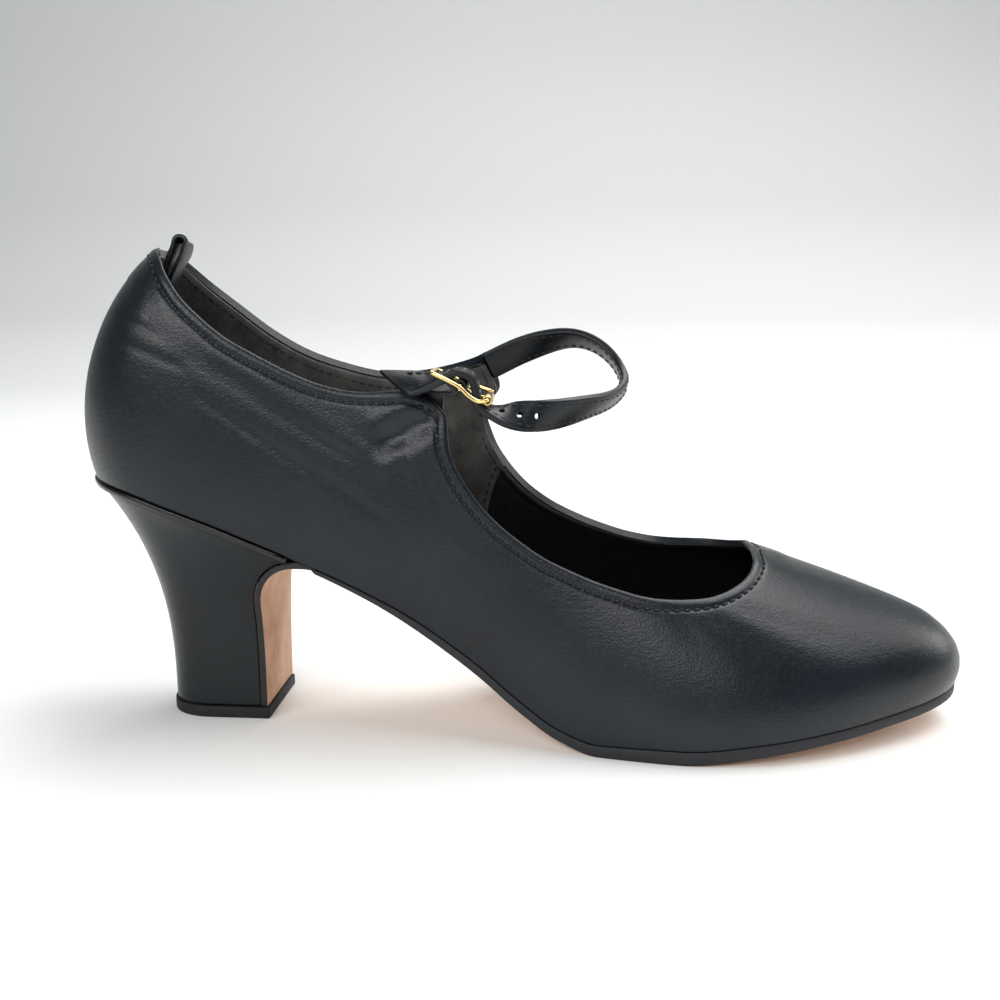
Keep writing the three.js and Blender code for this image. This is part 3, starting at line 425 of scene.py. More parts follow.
def foot_run(side, x):
    """Distance along the plan outline to x."""
    i = min(range(len(sides[side])), key=lambda k: abs(sides[side][k].x - x))
    return foot_runs[side][i]


# Where the columns start on the lower edge. They reach the quarter's front edge from behind, so
# their feet lie behind its corner, and they hook forward there. Shares are of COLUMNS.
CORNER_SETBACK = 13
THROAT_SETBACK = 9
THROAT_LOW_PERCENT = 16
HOOK_AT, HOOK_SPREAD = 0.07, 0.16


def foot_places(side):
    places = [top_x for top_x, _, _ in toplines[side]]
    throat = edge_points(EDGES[side][1], 1)[0]
    corner_at = min(range(COLUMNS), key=lambda n: (toplines[side][n][2] - throat).length)
    low_at = corner_at + COLUMNS * THROAT_LOW_PERCENT // 100
    stops = [
        (0, 0),
        (corner_at, foot_run(side, places[corner_at] - CORNER_SETBACK)),
        (low_at, foot_run(side, places[low_at] - THROAT_SETBACK)),
        (COLUMNS, foot_runs[side][-1]),
    ]
    run = column(stops, 1)
    feet = [spot_along(sides[side], foot_runs[side], run(n)).x for n in range(COLUMNS + 1)]
    hooks = [
        ease(1 - abs(n - corner_at - COLUMNS * HOOK_AT) / (COLUMNS * HOOK_SPREAD))
        for n in range(COLUMNS + 1)
    ]
    return feet, hooks


feet_and_hooks = {side: foot_places(side) for side in SIDES}


# Share of COLUMNS after which the columns lean on to the middle of the toe.
TOE_COLUMNS_FROM = 0.86


def skin_point(side, n, v, inset=0):
    """Point of the upper's skin in column n, v of the way from the lower edge to the topline."""
    top_x, top_t, goal = toplines[side][n]
    foot, hook = (values[n] for values in feet_and_hooks[side])
    blend = ease((n / COLUMNS - TOE_COLUMNS_FROM) / (1 - TOE_COLUMNS_FROM))
    top_x = top_x + (TOE_END - top_x) * blend
    x = foot + (top_x - foot) * (v + (v ** 4 - v) * hook)
    point = last_point(side, x, top_t * v, inset)
    if v > 0.5:
        top = last_point(side, top_x, top_t, inset)
        y = last_point(side, toplines[side][n][0], top_t, inset).y
        aim = Vector((goal.x, y, goal.z)) if n < COLUMNS else front_ridge - Vector((0, 0, inset))
        if inset == 0 or n == COLUMNS:
            point += (aim - top) * ease((v - 0.5) * 2)
    return point


# Rows of the skin: near the topline by their distance from it in millimetres, then evenly spaced.
NEAR_ROWS = [11, 8.5, 6.6, 5.2, 4.3, 3.7, 3.35, 3.05, 2.75, 2.4, 1.9, 1.3, 0.7, 0.25, 0]
FAR_ROWS = 58
ROWS = FAR_ROWS + len(NEAR_ROWS) - 1


# The search for the rows near the topline: steps, how far down it goes, and neighbouring columns.
EDGE_STEPS = 44
EDGE_SEARCH = 0.6
EDGE_NEIGHBOURS = 12


def edge_shares(side, n, distances, inset=0):
    """Shares up column n at which the skin lies these distances from the topline."""
    near = range(max(n - EDGE_NEIGHBOURS, 0), min(n + EDGE_NEIGHBOURS, COLUMNS) + 1)
    edge = [skin_point(side, k, 1, inset) for k in near]
    shares = [1 - EDGE_SEARCH * k / EDGE_STEPS for k in range(EDGE_STEPS + 1)]
    away = []
    for share in shares:
        place = skin_point(side, n, share, inset)
        away.append(min((place - point).length for point in edge))
    found = []
    for distance in distances:
        k = 0
        while k < EDGE_STEPS - 1 and away[k + 1] < distance:
            k += 1
        part = clamped((distance - away[k]) / max(away[k + 1] - away[k], 1e-6), 0, 1)
        found.append(shares[k] + (shares[k + 1] - shares[k]) * part)
    return found


def column_shares(side, n):
    near = edge_shares(side, n, NEAR_ROWS)
    return [near[0] * j / FAR_ROWS for j in range(FAR_ROWS)] + near


shares_up = {side: [column_shares(side, n) for n in range(COLUMNS + 1)] for side in SIDES}
for j in range(ROWS + 1):
    for n in (0, COLUMNS):
        mean = (shares_up["outer"][n][j] + shares_up["inner"][n][j]) / 2
        shares_up["outer"][n][j] = shares_up["inner"][n][j] = mean


def to_frame(point):
    return (point + SHIFT) * MM


def add_piece(name, bm, *materials):
    """Puts a finished bmesh into the scene as one piece of the shoe."""
    mesh = bpy.data.meshes.new(name)
    bm.to_mesh(mesh)
    bm.free()
    for material in materials:
        mesh.materials.append(material)
    piece = bpy.data.objects.new(name, mesh)
    bpy.context.collection.objects.link(piece)
    for face in mesh.polygons:
        face.use_smooth = True
    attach(piece, "root")
    return piece


def face_out(bm, inside):
    """Turns an open skin's faces away from a place inside it."""
    bm.normal_update()
    score = sum((face.calc_center_median() - inside).dot(face.normal) for face in bm.faces)
    if score < 0:
        bmesh.ops.reverse_faces(bm, faces=bm.faces[:])


def draped_grid(place, across, along):
    """A grid whose vertices are put where place(i, j) says."""
    bm = bmesh.new()
    bmesh.ops.create_grid(bm, x_segments=across, y_segments=along, size=1)
    bm.verts.ensure_lookup_table()
    for index, vert in enumerate(bm.verts):
        vert.co = to_frame(place(index % (across + 1), index // (across + 1)))
    return bm


def lofted(rings, closed_path=False):
    """A closed body through rings of equal count."""
    count = len(rings[0])
    rows = rings + [rings[0]] if closed_path else rings
    bm = draped_grid(lambda i, j: rows[j][i % count], count, len(rows) - 1)
    bmesh.ops.remove_doubles(bm, verts=bm.verts[:], dist=1e-7)
    bmesh.ops.dissolve_degenerate(bm, edges=bm.edges[:], dist=1e-7)
    open_edges = [edge for edge in bm.edges if edge.is_boundary]
    if open_edges:
        bmesh.ops.holes_fill(bm, edges=open_edges)
    bmesh.ops.recalc_face_normals(bm, faces=bm.faces[:])
    return bm


def squared(across, run):
    """A direction made square to the run."""
    return (across - run * across.dot(run)).normalized()


def ribbon_rings(places, acrosses, width, thickness, rounding, slant=0, slant_rings=1):
    """Rounded flat sections along places, each with the direction of its width. slant is how much
    further the far edge reaches at the end, as a share of the width, over the last slant_rings."""
    shape = []
    w, h, r = width / 2, thickness / 2, rounding
    corners = ((w - r, h - r), (r - w, h - r), (r - w, r - h), (w - r, r - h))
    for quarter, (cx, cy) in enumerate(corners):
        for k in range(3):
            angle = math.radians(90 * quarter + 45 * k)
            shape.append((cx + r * math.cos(angle), cy + r * math.sin(angle)))
    rings = []
    for i, place in enumerate(places):
        run = (places[min(i + 1, len(places) - 1)] - places[max(i - 1, 0)]).normalized()
        across = squared(acrosses[i], run)
        face = across.cross(run)
        lead = slant * ease((i - len(places) + slant_rings) / slant_rings)
        rings.append([place + across * a + face * b + run * a * lead for a, b in shape])
    return rings


def bar_rings(places, diameter, around=12, closed=False):
    """Round sections along places."""
    rings = []
    normal = Vector((0, 0, 1))
    count = len(places)
    for i, place in enumerate(places):
        before = places[(i - 1) % count] if closed else places[max(i - 1, 0)]
        after = places[(i + 1) % count] if closed else places[min(i + 1, count - 1)]
        run = (after - before).normalized()
        if abs(run.dot(normal)) > 0.95:
            normal = Vector((1, 0, 0))
        side = run.cross(normal).normalized()
        normal = side.cross(run).normalized()
        turns = [math.tau * k / around for k in range(around)]
        rings.append([
            place + (side * math.cos(turn) + normal * math.sin(turn)) * diameter / 2
            for turn in turns
        ])
    return rings


# Finishes.
def colour(code):
    """sRGB hex value as linear RGBA."""
    parts = [int(code[i:i + 2], 16) / 255 for i in (0, 2, 4)]
    return [p / 12.92 if p <= 0.04045 else ((p + 0.055) / 1.055) ** 2.4 for p in parts] + [1]


def node(tree, kind, settings=None, links=None, stops=()):
    """Adds a node, sets its properties, sockets and colour stops, and links its inputs."""
    made = tree.nodes.new(kind)
    for name, value in (settings or {}).items():
        if isinstance(name, int) or name in made.inputs:
            made.inputs[name].default_value = value
        else:
            setattr(made, name, value)
    for name, source in (links or {}).items():
        tree.links.new(source, made.inputs[name])
    for k, (place, shade) in enumerate(stops):
        made.color_ramp.elements[k].position = place
        made.color_ramp.elements[k].color = colour(shade)
    return made


def material(name, settings):
    """A new principled material with values set on its own sockets."""
    made = bpy.data.materials.new(name)
    made.use_nodes = True
    tree = made.node_tree
    shader = tree.nodes["Principled BSDF"]
    for socket, value in settings.items():
        shader.inputs[socket].default_value = value
    return made, tree, shader


def feed(tree, shader, sources):
    """Links patterns to the shader's sockets."""
    for socket, source in sources.items():
        tree.links.new(source, shader.inputs[socket])


# The skin's fine lines slant across the quarter: their angle in degrees, and how much longer than
# wide they are. STREAK and PORE are sizes as shares of the pebble, the clouds are in millimetres.
GRAIN_SLANT, GRAIN_STRETCH = -32, 3.2
STREAK, PORE, CLOUD, FIBRE_CLOUD = 4.5, 2.4, 28, 9


def smooth_leather(name, dark, light, roughness, grain=0.55, depth=0.05):
    """Chrome-tanned calf, dyed through and finished with a thin film: soft broad sheen, fine
    pebbled grain. grain is the pebble's width in millimetres, depth its height. Real calf has
    pebbles of 0.2 mm, too fine to show, so they are drawn two to three times as coarse."""
    made, tree, shader = material(name, {"Specular IOR Level": 0.38})
    where = node(tree, "ShaderNodeTexCoord").outputs["Object"]
    slanted = node(tree, "ShaderNodeMapping", {
        "Rotation": (0, math.radians(GRAIN_SLANT), 0), "Scale": (1, 1, GRAIN_STRETCH),
    }, {"Vector": where})
    streaks, pores, cloud = [
        node(tree, "ShaderNodeTexNoise", {
            "Scale": 1 / (size * MM), "Detail": detail, "Roughness": rough,
        }, {"Vector": vector}).outputs["Fac"]
        for size, detail, rough, vector in (
            (STREAK * grain, 5, 0.6, slanted.outputs["Vector"]),
            (PORE * grain, 6, 0.6, where),
            (CLOUD, 4, 0.55, where),
        )
    ]
    pebbles = node(tree, "ShaderNodeTexVoronoi", {
        "feature": "F1", "Scale": 1 / (grain * MM), "Randomness": 1,
    }, {"Vector": where})
    tone = node(
        tree, "ShaderNodeValToRGB", {}, {"Fac": cloud}, stops=[(0.35, dark), (0.7, light)],
    )
    fine = node(tree, "ShaderNodeMath", {"operation": "ADD"}, {
        0: pebbles.outputs["Distance"], 1: pores,
    })
    relief = node(tree, "ShaderNodeMath", {"operation": "MULTIPLY_ADD", 1: 2.2}, {
        0: streaks, 2: fine.outputs["Value"],
    })
    gloss = node(tree, "ShaderNodeMapRange", {
        "From Min": 0.3, "From Max": 0.75, "To Min": roughness - 0.05, "To Max": roughness + 0.08,
    }, {"Value": pores})
    bump = node(tree, "ShaderNodeBump", {
        "Strength": 0.5, "Distance": depth * MM,
    }, {"Height": relief.outputs["Value"]})
    feed(tree, shader, {
        "Base Color": tone.outputs["Color"], "Roughness": gloss.outputs["Result"],
        "Normal": bump.outputs["Normal"],
    })
    return made


def fibrous_leather(name, dark, light, roughness, fibre, depth):
    """Unfinished leather: matt, with short fibres and a cloudy tone. fibre is their length in
    millimetres; real fibres are finer, and are drawn this coarse so that they show."""
    made, tree, shader = material(name, {"Specular IOR Level": 0.25, "Roughness": roughness})
    where = node(tree, "ShaderNodeTexCoord").outputs["Object"]
    fibres, cloud = [
        node(tree, "ShaderNodeTexNoise", {
            "Scale": 1 / (size * MM), "Detail": detail, "Roughness": rough,
        }, {"Vector": where}).outputs["Fac"]
        for size, detail, rough in ((fibre, 8, 0.7), (FIBRE_CLOUD, 5, 0.6))
    ]
    both = node(tree, "ShaderNodeMath", {"operation": "MULTIPLY_ADD", 1: 0.45}, {
        0: fibres, 2: cloud,
    })
    tone = node(
        tree, "ShaderNodeValToRGB", {}, {"Fac": both.outputs["Value"]},
        stops=[(0.5, dark), (0.95, light)],
    )
    bump = node(tree, "ShaderNodeBump", {
        "Strength": 0.6, "Distance": depth * MM,
    }, {"Height": fibres})
    feed(tree, shader, {
        "Base Color": tone.outputs["Color"], "Normal": bump.outputs["Normal"],
    })
    return made


def plain_finish(name, shade, roughness, speck, depth, **settings):
    """An even finish with fine specks of gloss. speck is their size in millimetres."""
    made, tree, shader = material(name, {"Base Color": colour(shade), **settings})
    where = node(tree, "ShaderNodeTexCoord").outputs["Object"]
    specks = node(tree, "ShaderNodeTexNoise", {
        "Scale": 1 / (speck * MM), "Detail": 5, "Roughness": 0.6,
    }, {"Vector": where}).outputs["Fac"]
    gloss = node(tree, "ShaderNodeMapRange", {
        "From Min": 0.3, "From Max": 0.7, "To Min": roughness * 0.8, "To Max": roughness * 1.25,
    }, {"Value": specks})
    bump = node(tree, "ShaderNodeBump", {
        "Strength": 0.3, "Distance": depth * MM,
    }, {"Height": specks})
    feed(tree, shader, {
        "Roughness": gloss.outputs["Result"], "Normal": bump.outputs["Normal"],
    })
    return made


# Glazed calf over the last: deep blue-black, with a soft broad sheen and a fine slanting grain.
upper_calf = smooth_leather("calf_black_glazed", "0a0f15", "131a22", 0.34, depth=0.07)
# The same calf pulled tight over the heel block: smoother and glossier, its grain drawn flat.
heel_calf = smooth_leather("calf_black_stretched", "090e13", "10171d", 0.32, grain=0.6, depth=0.03)
# Two layers of calf, pressed and sewn: darker and a little duller than the upper.
strap_calf = smooth_leather("calf_black_strap", "060a0f", "0c1218", 0.36, grain=0.5, depth=0.04)
# Pigskin suede, napped: grey-brown, quite matt and cloudy, with a short pile.
quarter_suede = fibrous_leather("pigskin_suede_lining", "2e2c2b", "5a5753", 0.95, 0.5, 0.25)
# Coated fabric: an even, slightly shiny black.
vamp_lining = plain_finish("coated_lining_black", "0b0c0e", 0.36, 1.2, 0.03)
# Raw cut leather: a light grey line of fibres along the lining's edge.
cut_edge = fibrous_leather("cut_leather_edge", "4a4c4f", "8b8d8e", 0.8, 0.4, 0.08)
# Vegetable-tanned sole bend, rolled: warm tan, half matt, cloudy.
sole_tan = fibrous_leather("veg_tan_sole", "b98d6f", "d9b598", 0.62, 0.7, 0.06)
# Edge dye rubbed into the sole's edge: matt black.
edge_paint = plain_finish("edge_dye_black", "15181c", 0.55, 0.8, 0.05)
# Enamelled rand round the heel seat: a thin glossy black line.
rim_enamel = plain_finish("seat_rim_black", "0a0b0d", 0.22, 2.0, 0.02)
# Moulded rubber: matt, slightly grainy black.
top_rubber = plain_finish("rubber_moulded_black", "111214", 0.7, 0.9, 0.05)
# Brass, polished and plated: bright pale gold with sharp reflections.
gilt = plain_finish("brass_plated_gold", "e6c98a", 0.16, 0.8, 0.01, Metallic=1.0)
# Polyester thread: black, faintly shiny.
thread_black = plain_finish("polyester_thread_black", "0c0d0f", 0.55, 0.3, 0.03)


# Soft creases of the upper: side of the shoe, half width and depth in millimetres (a ridge where
# the depth is negative), and the line along x and z.
CREASES = [
    ("outer", 3.4, 1.7, [(88, 80), (94.4, 83.5), (99.4, 86.2), (103, 88)]),
    ("outer", 2.6, -0.5, [(84, 84), (89, 87), (94, 90)]),
    ("outer", 3.0, -0.4, [(86, 73), (93, 77), (100, 80)]),
    ("outer", 1.7, 0.3, [(38, 102), (51, 94.5), (61, 87), (71, 80.5), (80, 75.6)]),
    ("outer", 2.2, -0.25, [(45, 103), (58, 95), (70, 86), (82, 78)]),
    ("outer", 1.6, 0.22, [(52, 84), (64, 76), (76, 68), (88, 60)]),
    ("outer", 1.5, 0.2, [(40, 92), (54, 82), (66, 73)]),
    ("outer", 1.8, 0.2, [(82, 82), (92, 73), (104, 62), (114, 52)]),
    ("outer", 0.8, 0.32, [(19, 123.5), (23, 121.8), (28, 119.2), (33, 117)]),
    ("outer", 0.8, 0.3, [(18, 120.5), (23, 118.6), (29, 115.6)]),
    ("outer", 0.8, 0.26, [(20, 126), (24, 124.6), (28, 122.2)]),
    ("outer", 0.9, 0.26, [(17, 117), (23, 114.8), (30, 111.4)]),
    ("outer", 1.0, 0.22, [(17, 112), (25, 109), (34, 105)]),
    ("outer", 1.2, 0.2, [(16, 106), (25, 103), (36, 99)]),
    ("inner", 3.2, 0.3, [(98, 70), (106, 75), (113, 80)]),
    ("inner", 2.2, 0.3, [(50, 98), (64, 88), (80, 77)]),
    ("inner", 2.0, 0.3, [(66, 94), (80, 84), (94, 72)]),
    ("inner", 1.0, 0.25, [(18, 112), (24, 110), (30, 108)]),
    ("inner", 1.0, 0.25, [(18, 106), (25, 104), (33, 102)]),
]


def crease_depth(place):
    """How far the creases push the skin in at a place. Each fades out past its ends."""
    depth = 0
    spot = Vector((place.x, place.z))
    side = "outer" if place.y < 0 else "inner"
    for crease_side, half_width, crease, line in CREASES:
        reach = 3 * half_width
        if crease_side != side or not line[0][0] - reach < place.x < line[-1][0] + reach:
            continue
        nearest, along = 1e9, 0
        for k in range(len(line) - 1):
            a, b = Vector(line[k]), Vector(line[k + 1])
            run = b - a
            share = (spot - a).dot(run) / run.length_squared
            away = (spot - a - run * clamped(share, 0, 1)).length
            if away < nearest:
                nearest, along = away, (k + share) / (len(line) - 1)
        fade = ease((along + 0.25) / 0.4) * ease((1.25 - along) / 0.4)
        depth += crease * fade * math.exp(-(nearest / half_width) ** 2)
    return depth


STITCH_FROM_EDGE = 3.05
STITCH_PITCH = 2.6
# Shape of the turned edge: how far it rolls in, the stitch groove, and the fold's swell between.
ROLL_DEPTH, ROLL_WIDTH = 0.5, 0.7
GROOVE_DEPTH, GROOVE_WIDTH = 0.32, 0.5
SWELL, SWELL_AT, SWELL_WIDTH = 0.14, 1.7, 0.7


def edge_depth(distance):
    """How far the folded edge and its stitch groove lie in, by the distance from the topline."""
    roll = ROLL_DEPTH * max(1 - distance / ROLL_WIDTH, 0) ** 2
    groove = GROOVE_DEPTH * math.exp(-((distance - STITCH_FROM_EDGE) / GROOVE_WIDTH) ** 2)
    fold = -SWELL * math.exp(-((distance - SWELL_AT) / SWELL_WIDTH) ** 2)
    return roll + groove + fold


def upper_place(i, j):
    side, n = ("outer", i) if i <= COLUMNS else ("inner", 2 * COLUMNS - i)
    return skin_point(side, n, shares_up[side][n][j])


def make_upper():
    bm = draped_grid(upper_place, 2 * COLUMNS, ROWS)
    from_edge = bm.verts.layers.float.new("from_edge")
    bm.verts.ensure_lookup_table()
    for index, vert in enumerate(bm.verts):
        j = index // (2 * COLUMNS + 1)
        vert[from_edge] = NEAR_ROWS[j - FAR_ROWS] if j >= FAR_ROWS else 2 * NEAR_ROWS[0]
    bmesh.ops.remove_doubles(bm, verts=bm.verts[:], dist=1e-6)
    face_out(bm, to_frame(Vector((LENGTH / 2, 0, 40))))
    inner = [vert for vert in bm.verts if vert[from_edge] > NEAR_ROWS[0] and not vert.is_boundary]
    for _ in range(3):
        bmesh.ops.smooth_vert(
            bm, verts=inner, factor=0.4, use_axis_x=True, use_axis_y=True, use_axis_z=True,
        )
    bm.normal_update()
    moves = []
    for vert in bm.verts:
        place = vert.co / MM - SHIFT
        depth = crease_depth(place) * ease(vert[from_edge] / 8 + 0.1) + edge_depth(vert[from_edge])
        moves.append(vert.co - vert.normal * depth * MM)
    for vert, place in zip(bm.verts, moves):
        vert.co = place
    piece = add_piece("upper_shell", bm, upper_calf, vamp_lining, cut_edge)
    wall = piece.modifiers.new("wall", "SOLIDIFY")
    wall.thickness = WALL * MM
    wall.offset = -1
    wall.material_offset = 1
    wall.material_offset_rim = 0
    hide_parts("upper")


make_upper()


def spaced(points, pitch, start=0):
    """Places along a line at an even pitch, each with the line's direction."""
    lengths = run_lengths(points)
    count = int((lengths[-1] - start) / pitch)
    found = []
    for k in range(count + 1):
        at = start + k * pitch
        place = spot_along(points, lengths, at)
        run = spot_along(points, lengths, at + 0.2) - spot_along(points, lengths, at - 0.2)
        found.append((place, run.normalized()))
    return found


def off_corners(spots):
    """Only the stitch places where the line doesn't turn sharply."""
    last = len(spots) - 1
    return [
        spot for k, spot in enumerate(spots)
        if spots[max(k - 1, 0)][1].dot(spots[min(k + 1, last)][1]) > 0.75
    ]


def make_stitches(name, rows, length, width):
    """Thread stitches: short rounded bars lying in places with a direction and a normal."""
    bm = bmesh.new()
    for place, run, normal in rows:
        across = normal.cross(run).normalized()
        up = run.cross(across).normalized()
        turn = Matrix((run, across, up)).transposed().to_4x4()
        stretch = Matrix.Diagonal((length / 2 * MM, width / 2 * MM, width / 2 * MM, 1))
        matrix = Matrix.Translation(to_frame(place)) @ turn @ stretch
        bmesh.ops.create_uvsphere(bm, u_segments=8, v_segments=5, radius=1, matrix=matrix)
    piece = add_piece(name, bm, thread_black)


def edge_line(side, inset, end=COLUMNS):
    """The stitch line on the skin, at its distance from the topline."""
    line = []
    for n in range(end + 1):
        share = edge_shares(side, n, [STITCH_FROM_EDGE], inset)[0]
        line.append(skin_point(side, n, share, inset))
    return line


def outward_at(place):
    """Roughly the upper's outward direction, from a line inside the shoe."""
    middle = Vector((clamped(place.x, 45, 205), 0, place.z - 12 * ease((place.x - 120) / 60)))
    return (place - middle).normalized()


STITCH_SUNK = 0.12


def make_topline_stitches():
    rows = []
    for side in SIDES:
        for place, run in off_corners(spaced(edge_line(side, 0), STITCH_PITCH, STITCH_PITCH / 2)):
            normal = outward_at(place)
            rows.append((place - normal * STITCH_SUNK, run, normal))
    make_stitches("topline_stitches", rows, length=2.0, width=0.62)


make_topline_stitches()


LINING_THICKNESS = 0.5
LINING_INSET = WALL + 0.15
LINING_FROM_EDGE = 1.3
LINING_END = 116
LINING_LEVELS = 30
LINING_FOOT = 0.06
LINING_STITCH_PROUD = 0.1


def make_lining():
    """The suede lining: a sheet inside each quarter, sewn along its upper and front edges."""
    lined = {}
    for side in SIDES:
        end = min(range(COLUMNS + 1), key=lambda n: abs(toplines[side][n][2].x - LINING_END))
        tops = [edge_shares(side, n, [LINING_FROM_EDGE], LINING_INSET)[0] for n in range(end + 1)]
        lined[side] = (end, tops)
    outer_end = lined["outer"][0]

    def place(i, j):
        side, n = ("outer", outer_end - i) if i <= outer_end else ("inner", i - outer_end)
        top = lined[side][1][n]
        share = LINING_FOOT + (top - LINING_FOOT) * j / LINING_LEVELS
        point = skin_point(side, n, share, LINING_INSET)
        return point - outward_at(point) * max(crease_depth(point), 0)

    bm = draped_grid(place, outer_end + lined["inner"][0], LINING_LEVELS)
    face_out(bm, to_frame(Vector((LENGTH / 2, 0, 60))))
    piece = add_piece("quarter_lining", bm, quarter_suede, quarter_suede, cut_edge)
    sheet = piece.modifiers.new("sheet", "SOLIDIFY")
    sheet.thickness = LINING_THICKNESS * MM
    sheet.offset = -1
    sheet.material_offset = 1
    sheet.material_offset_rim = 2
    deep = LINING_INSET + LINING_THICKNESS
    stitches = []
    for side, (end, _) in lined.items():
        down = [skin_point(side, end - 2, 0.95 - 0.9 * k / 30, deep) for k in range(31)]
        line = edge_line(side, deep, end)
        spots = off_corners(spaced(line, STITCH_PITCH, STITCH_PITCH / 2))
        for spot, run in spots + spaced(down, STITCH_PITCH, 2):
            normal = -outward_at(spot)
            stitches.append((spot + normal * LINING_STITCH_PROUD, run, normal))
    make_stitches("lining_stitches", stitches, length=1.9, width=0.55)


make_lining()


# The breast of the heel turns into the sole's underside in an arc.
def breast_corner():
    def slope(x):
        return bottom_height(x + 0.5) - bottom_height(x - 0.5)

    def before(x):
        return x + BREAST_RADIUS * slope(x) / math.hypot(1, slope(x)) < CORNER_X

    end = last_where(before, BREAST_AT, BREAST_AT + 3 * BREAST_RADIUS, 40)
    grade = slope(end)
    return end, bottom_height(end) - BREAST_RADIUS / math.hypot(1, grade), math.atan2(1, -grade)


CORNER_X = BREAST_AT + BREAST_RADIUS
CORNER_END, CORNER_Z, CORNER_ANGLE = breast_corner()
HEEL_FRONT = CORNER_END + BREAST_RADIUS / 2
TIP_BACK = BREAST_AT - TOP_PIECE_LENGTH
TIP_ROUNDNESS = 2.4
HEEL_FOOT = TOP_PIECE_THICKNESS + GAP


def breast_x(z, depth):
    """Front of the breast at height z, depth behind the flap's face."""
    if z <= CORNER_Z:
        return BREAST_AT - depth
    return CORNER_X - math.sqrt(max((BREAST_RADIUS + depth) ** 2 - (z - CORNER_Z) ** 2, 0))


def tip_half_width(from_back):
    depth = min(from_back / HEEL_CORNER, 1)
    return TOP_PIECE_WIDTH / 2 * (1 - (1 - depth) ** TIP_ROUNDNESS) ** (1 / TIP_ROUNDNESS)


def heel_seat(side, share):
    """Plan outline over the heel's side, share of the way back: the point and its outward way."""
    return plan_point(side, HEEL_FRONT + (HEEL_END - HEEL_FRONT) * share)


def heel_place(side, level, share):
    """Point of the heel's side, level of the way up and share of the way back."""
    seat, outward = heel_seat(side, share)
    tip_x = HEEL_FRONT + (TIP_BACK - HEEL_FRONT) * share
    tip = Vector((tip_x, (-1 if side == "outer" else 1) * tip_half_width(tip_x - TIP_BACK), 0))
    place = tip.lerp(seat - outward * HEEL_TUCK, level ** HEEL_FLARE)
    top = feather_height(seat.x) - GAP - HEEL_RIM_HEIGHT
    place.z = HEEL_FOOT + (top - HEEL_FOOT) * level
    return place


def side_share(side, level, depth):
    """How far back the side of the heel meets the breast."""
    def ahead(share):
        place = heel_place(side, level, share)
        return place.x > breast_x(place.z, depth)

    return last_where(ahead, 0, 1)


HEEL_SIDE_STEPS = 26
HEEL_LEVELS = 30
# Rim round the heel's seat: how far out as a share of HEEL_RIM, how far down of HEEL_RIM_HEIGHT.
RIM_SECTION = [(0.6, 0.9), (1, 0.6), (1, 0.25), (0.7, 0)]


def heel_ring(level, out=None, below=0):
    """Ring of the heel at a level, or with out and below, a ring of the rim round its seat."""
    ring = []
    for side in SIDES:
        start = side_share(side, level, FLAP_THICKNESS + GAP)
        half = []
        for n in range(HEEL_SIDE_STEPS + 1):
            share = start + (1 - start) * math.sin(math.pi / 2 * n / HEEL_SIDE_STEPS)
            place = heel_place(side, level, share)
            if out is not None:
                seat, outward = heel_seat(side, share)
                place = seat + outward * out
                place.z = feather_height(seat.x) - GAP - below
            half.append(place)
        ring.extend(half if side == "outer" else half[:-1][::-1])
    return ring


def soften_edges(piece, width, sharper_than):
    """Rounds the edges sharper than an angle in degrees, by a width in millimetres."""
    edge = piece.modifiers.new("edge", "BEVEL")
    edge.width = width * MM
    edge.segments = 2
    edge.limit_method = "ANGLE"
    edge.angle_limit = math.radians(sharper_than)


def make_heel():
    rings = [heel_ring(n / HEEL_LEVELS) for n in range(HEEL_LEVELS + 1)]
    piece = add_piece("heel_block", lofted(rings), heel_calf)
    soften_edges(piece, 0.5, 40)
    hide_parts("heel")
    rim = [heel_ring(1, -HEEL_TUCK, HEEL_RIM_HEIGHT)]
    rim += [heel_ring(1, HEEL_RIM * out, HEEL_RIM_HEIGHT * below) for out, below in RIM_SECTION]
    seat_rim = add_piece("heel_seat_rim", lofted(rim), rim_enamel)


make_heel()


def flap_side(side, z):
    """Side of the flap, which is as wide as the heel behind it."""
    def below(level):
        return heel_place(side, level, side_share(side, level, 0)).z < z

    level = last_where(below, 0, 1, 24)
    return heel_place(side, level, side_share(side, level, 0)).y


FLAP_STEPS, CORNER_STEPS, SOLE_STEPS = 16, 16, 150
# Share of the steps along the sole that crowd towards the toe, and how much of the toe is dyed.
TOE_CROWDING = 0.6
DYED_TOE = 30


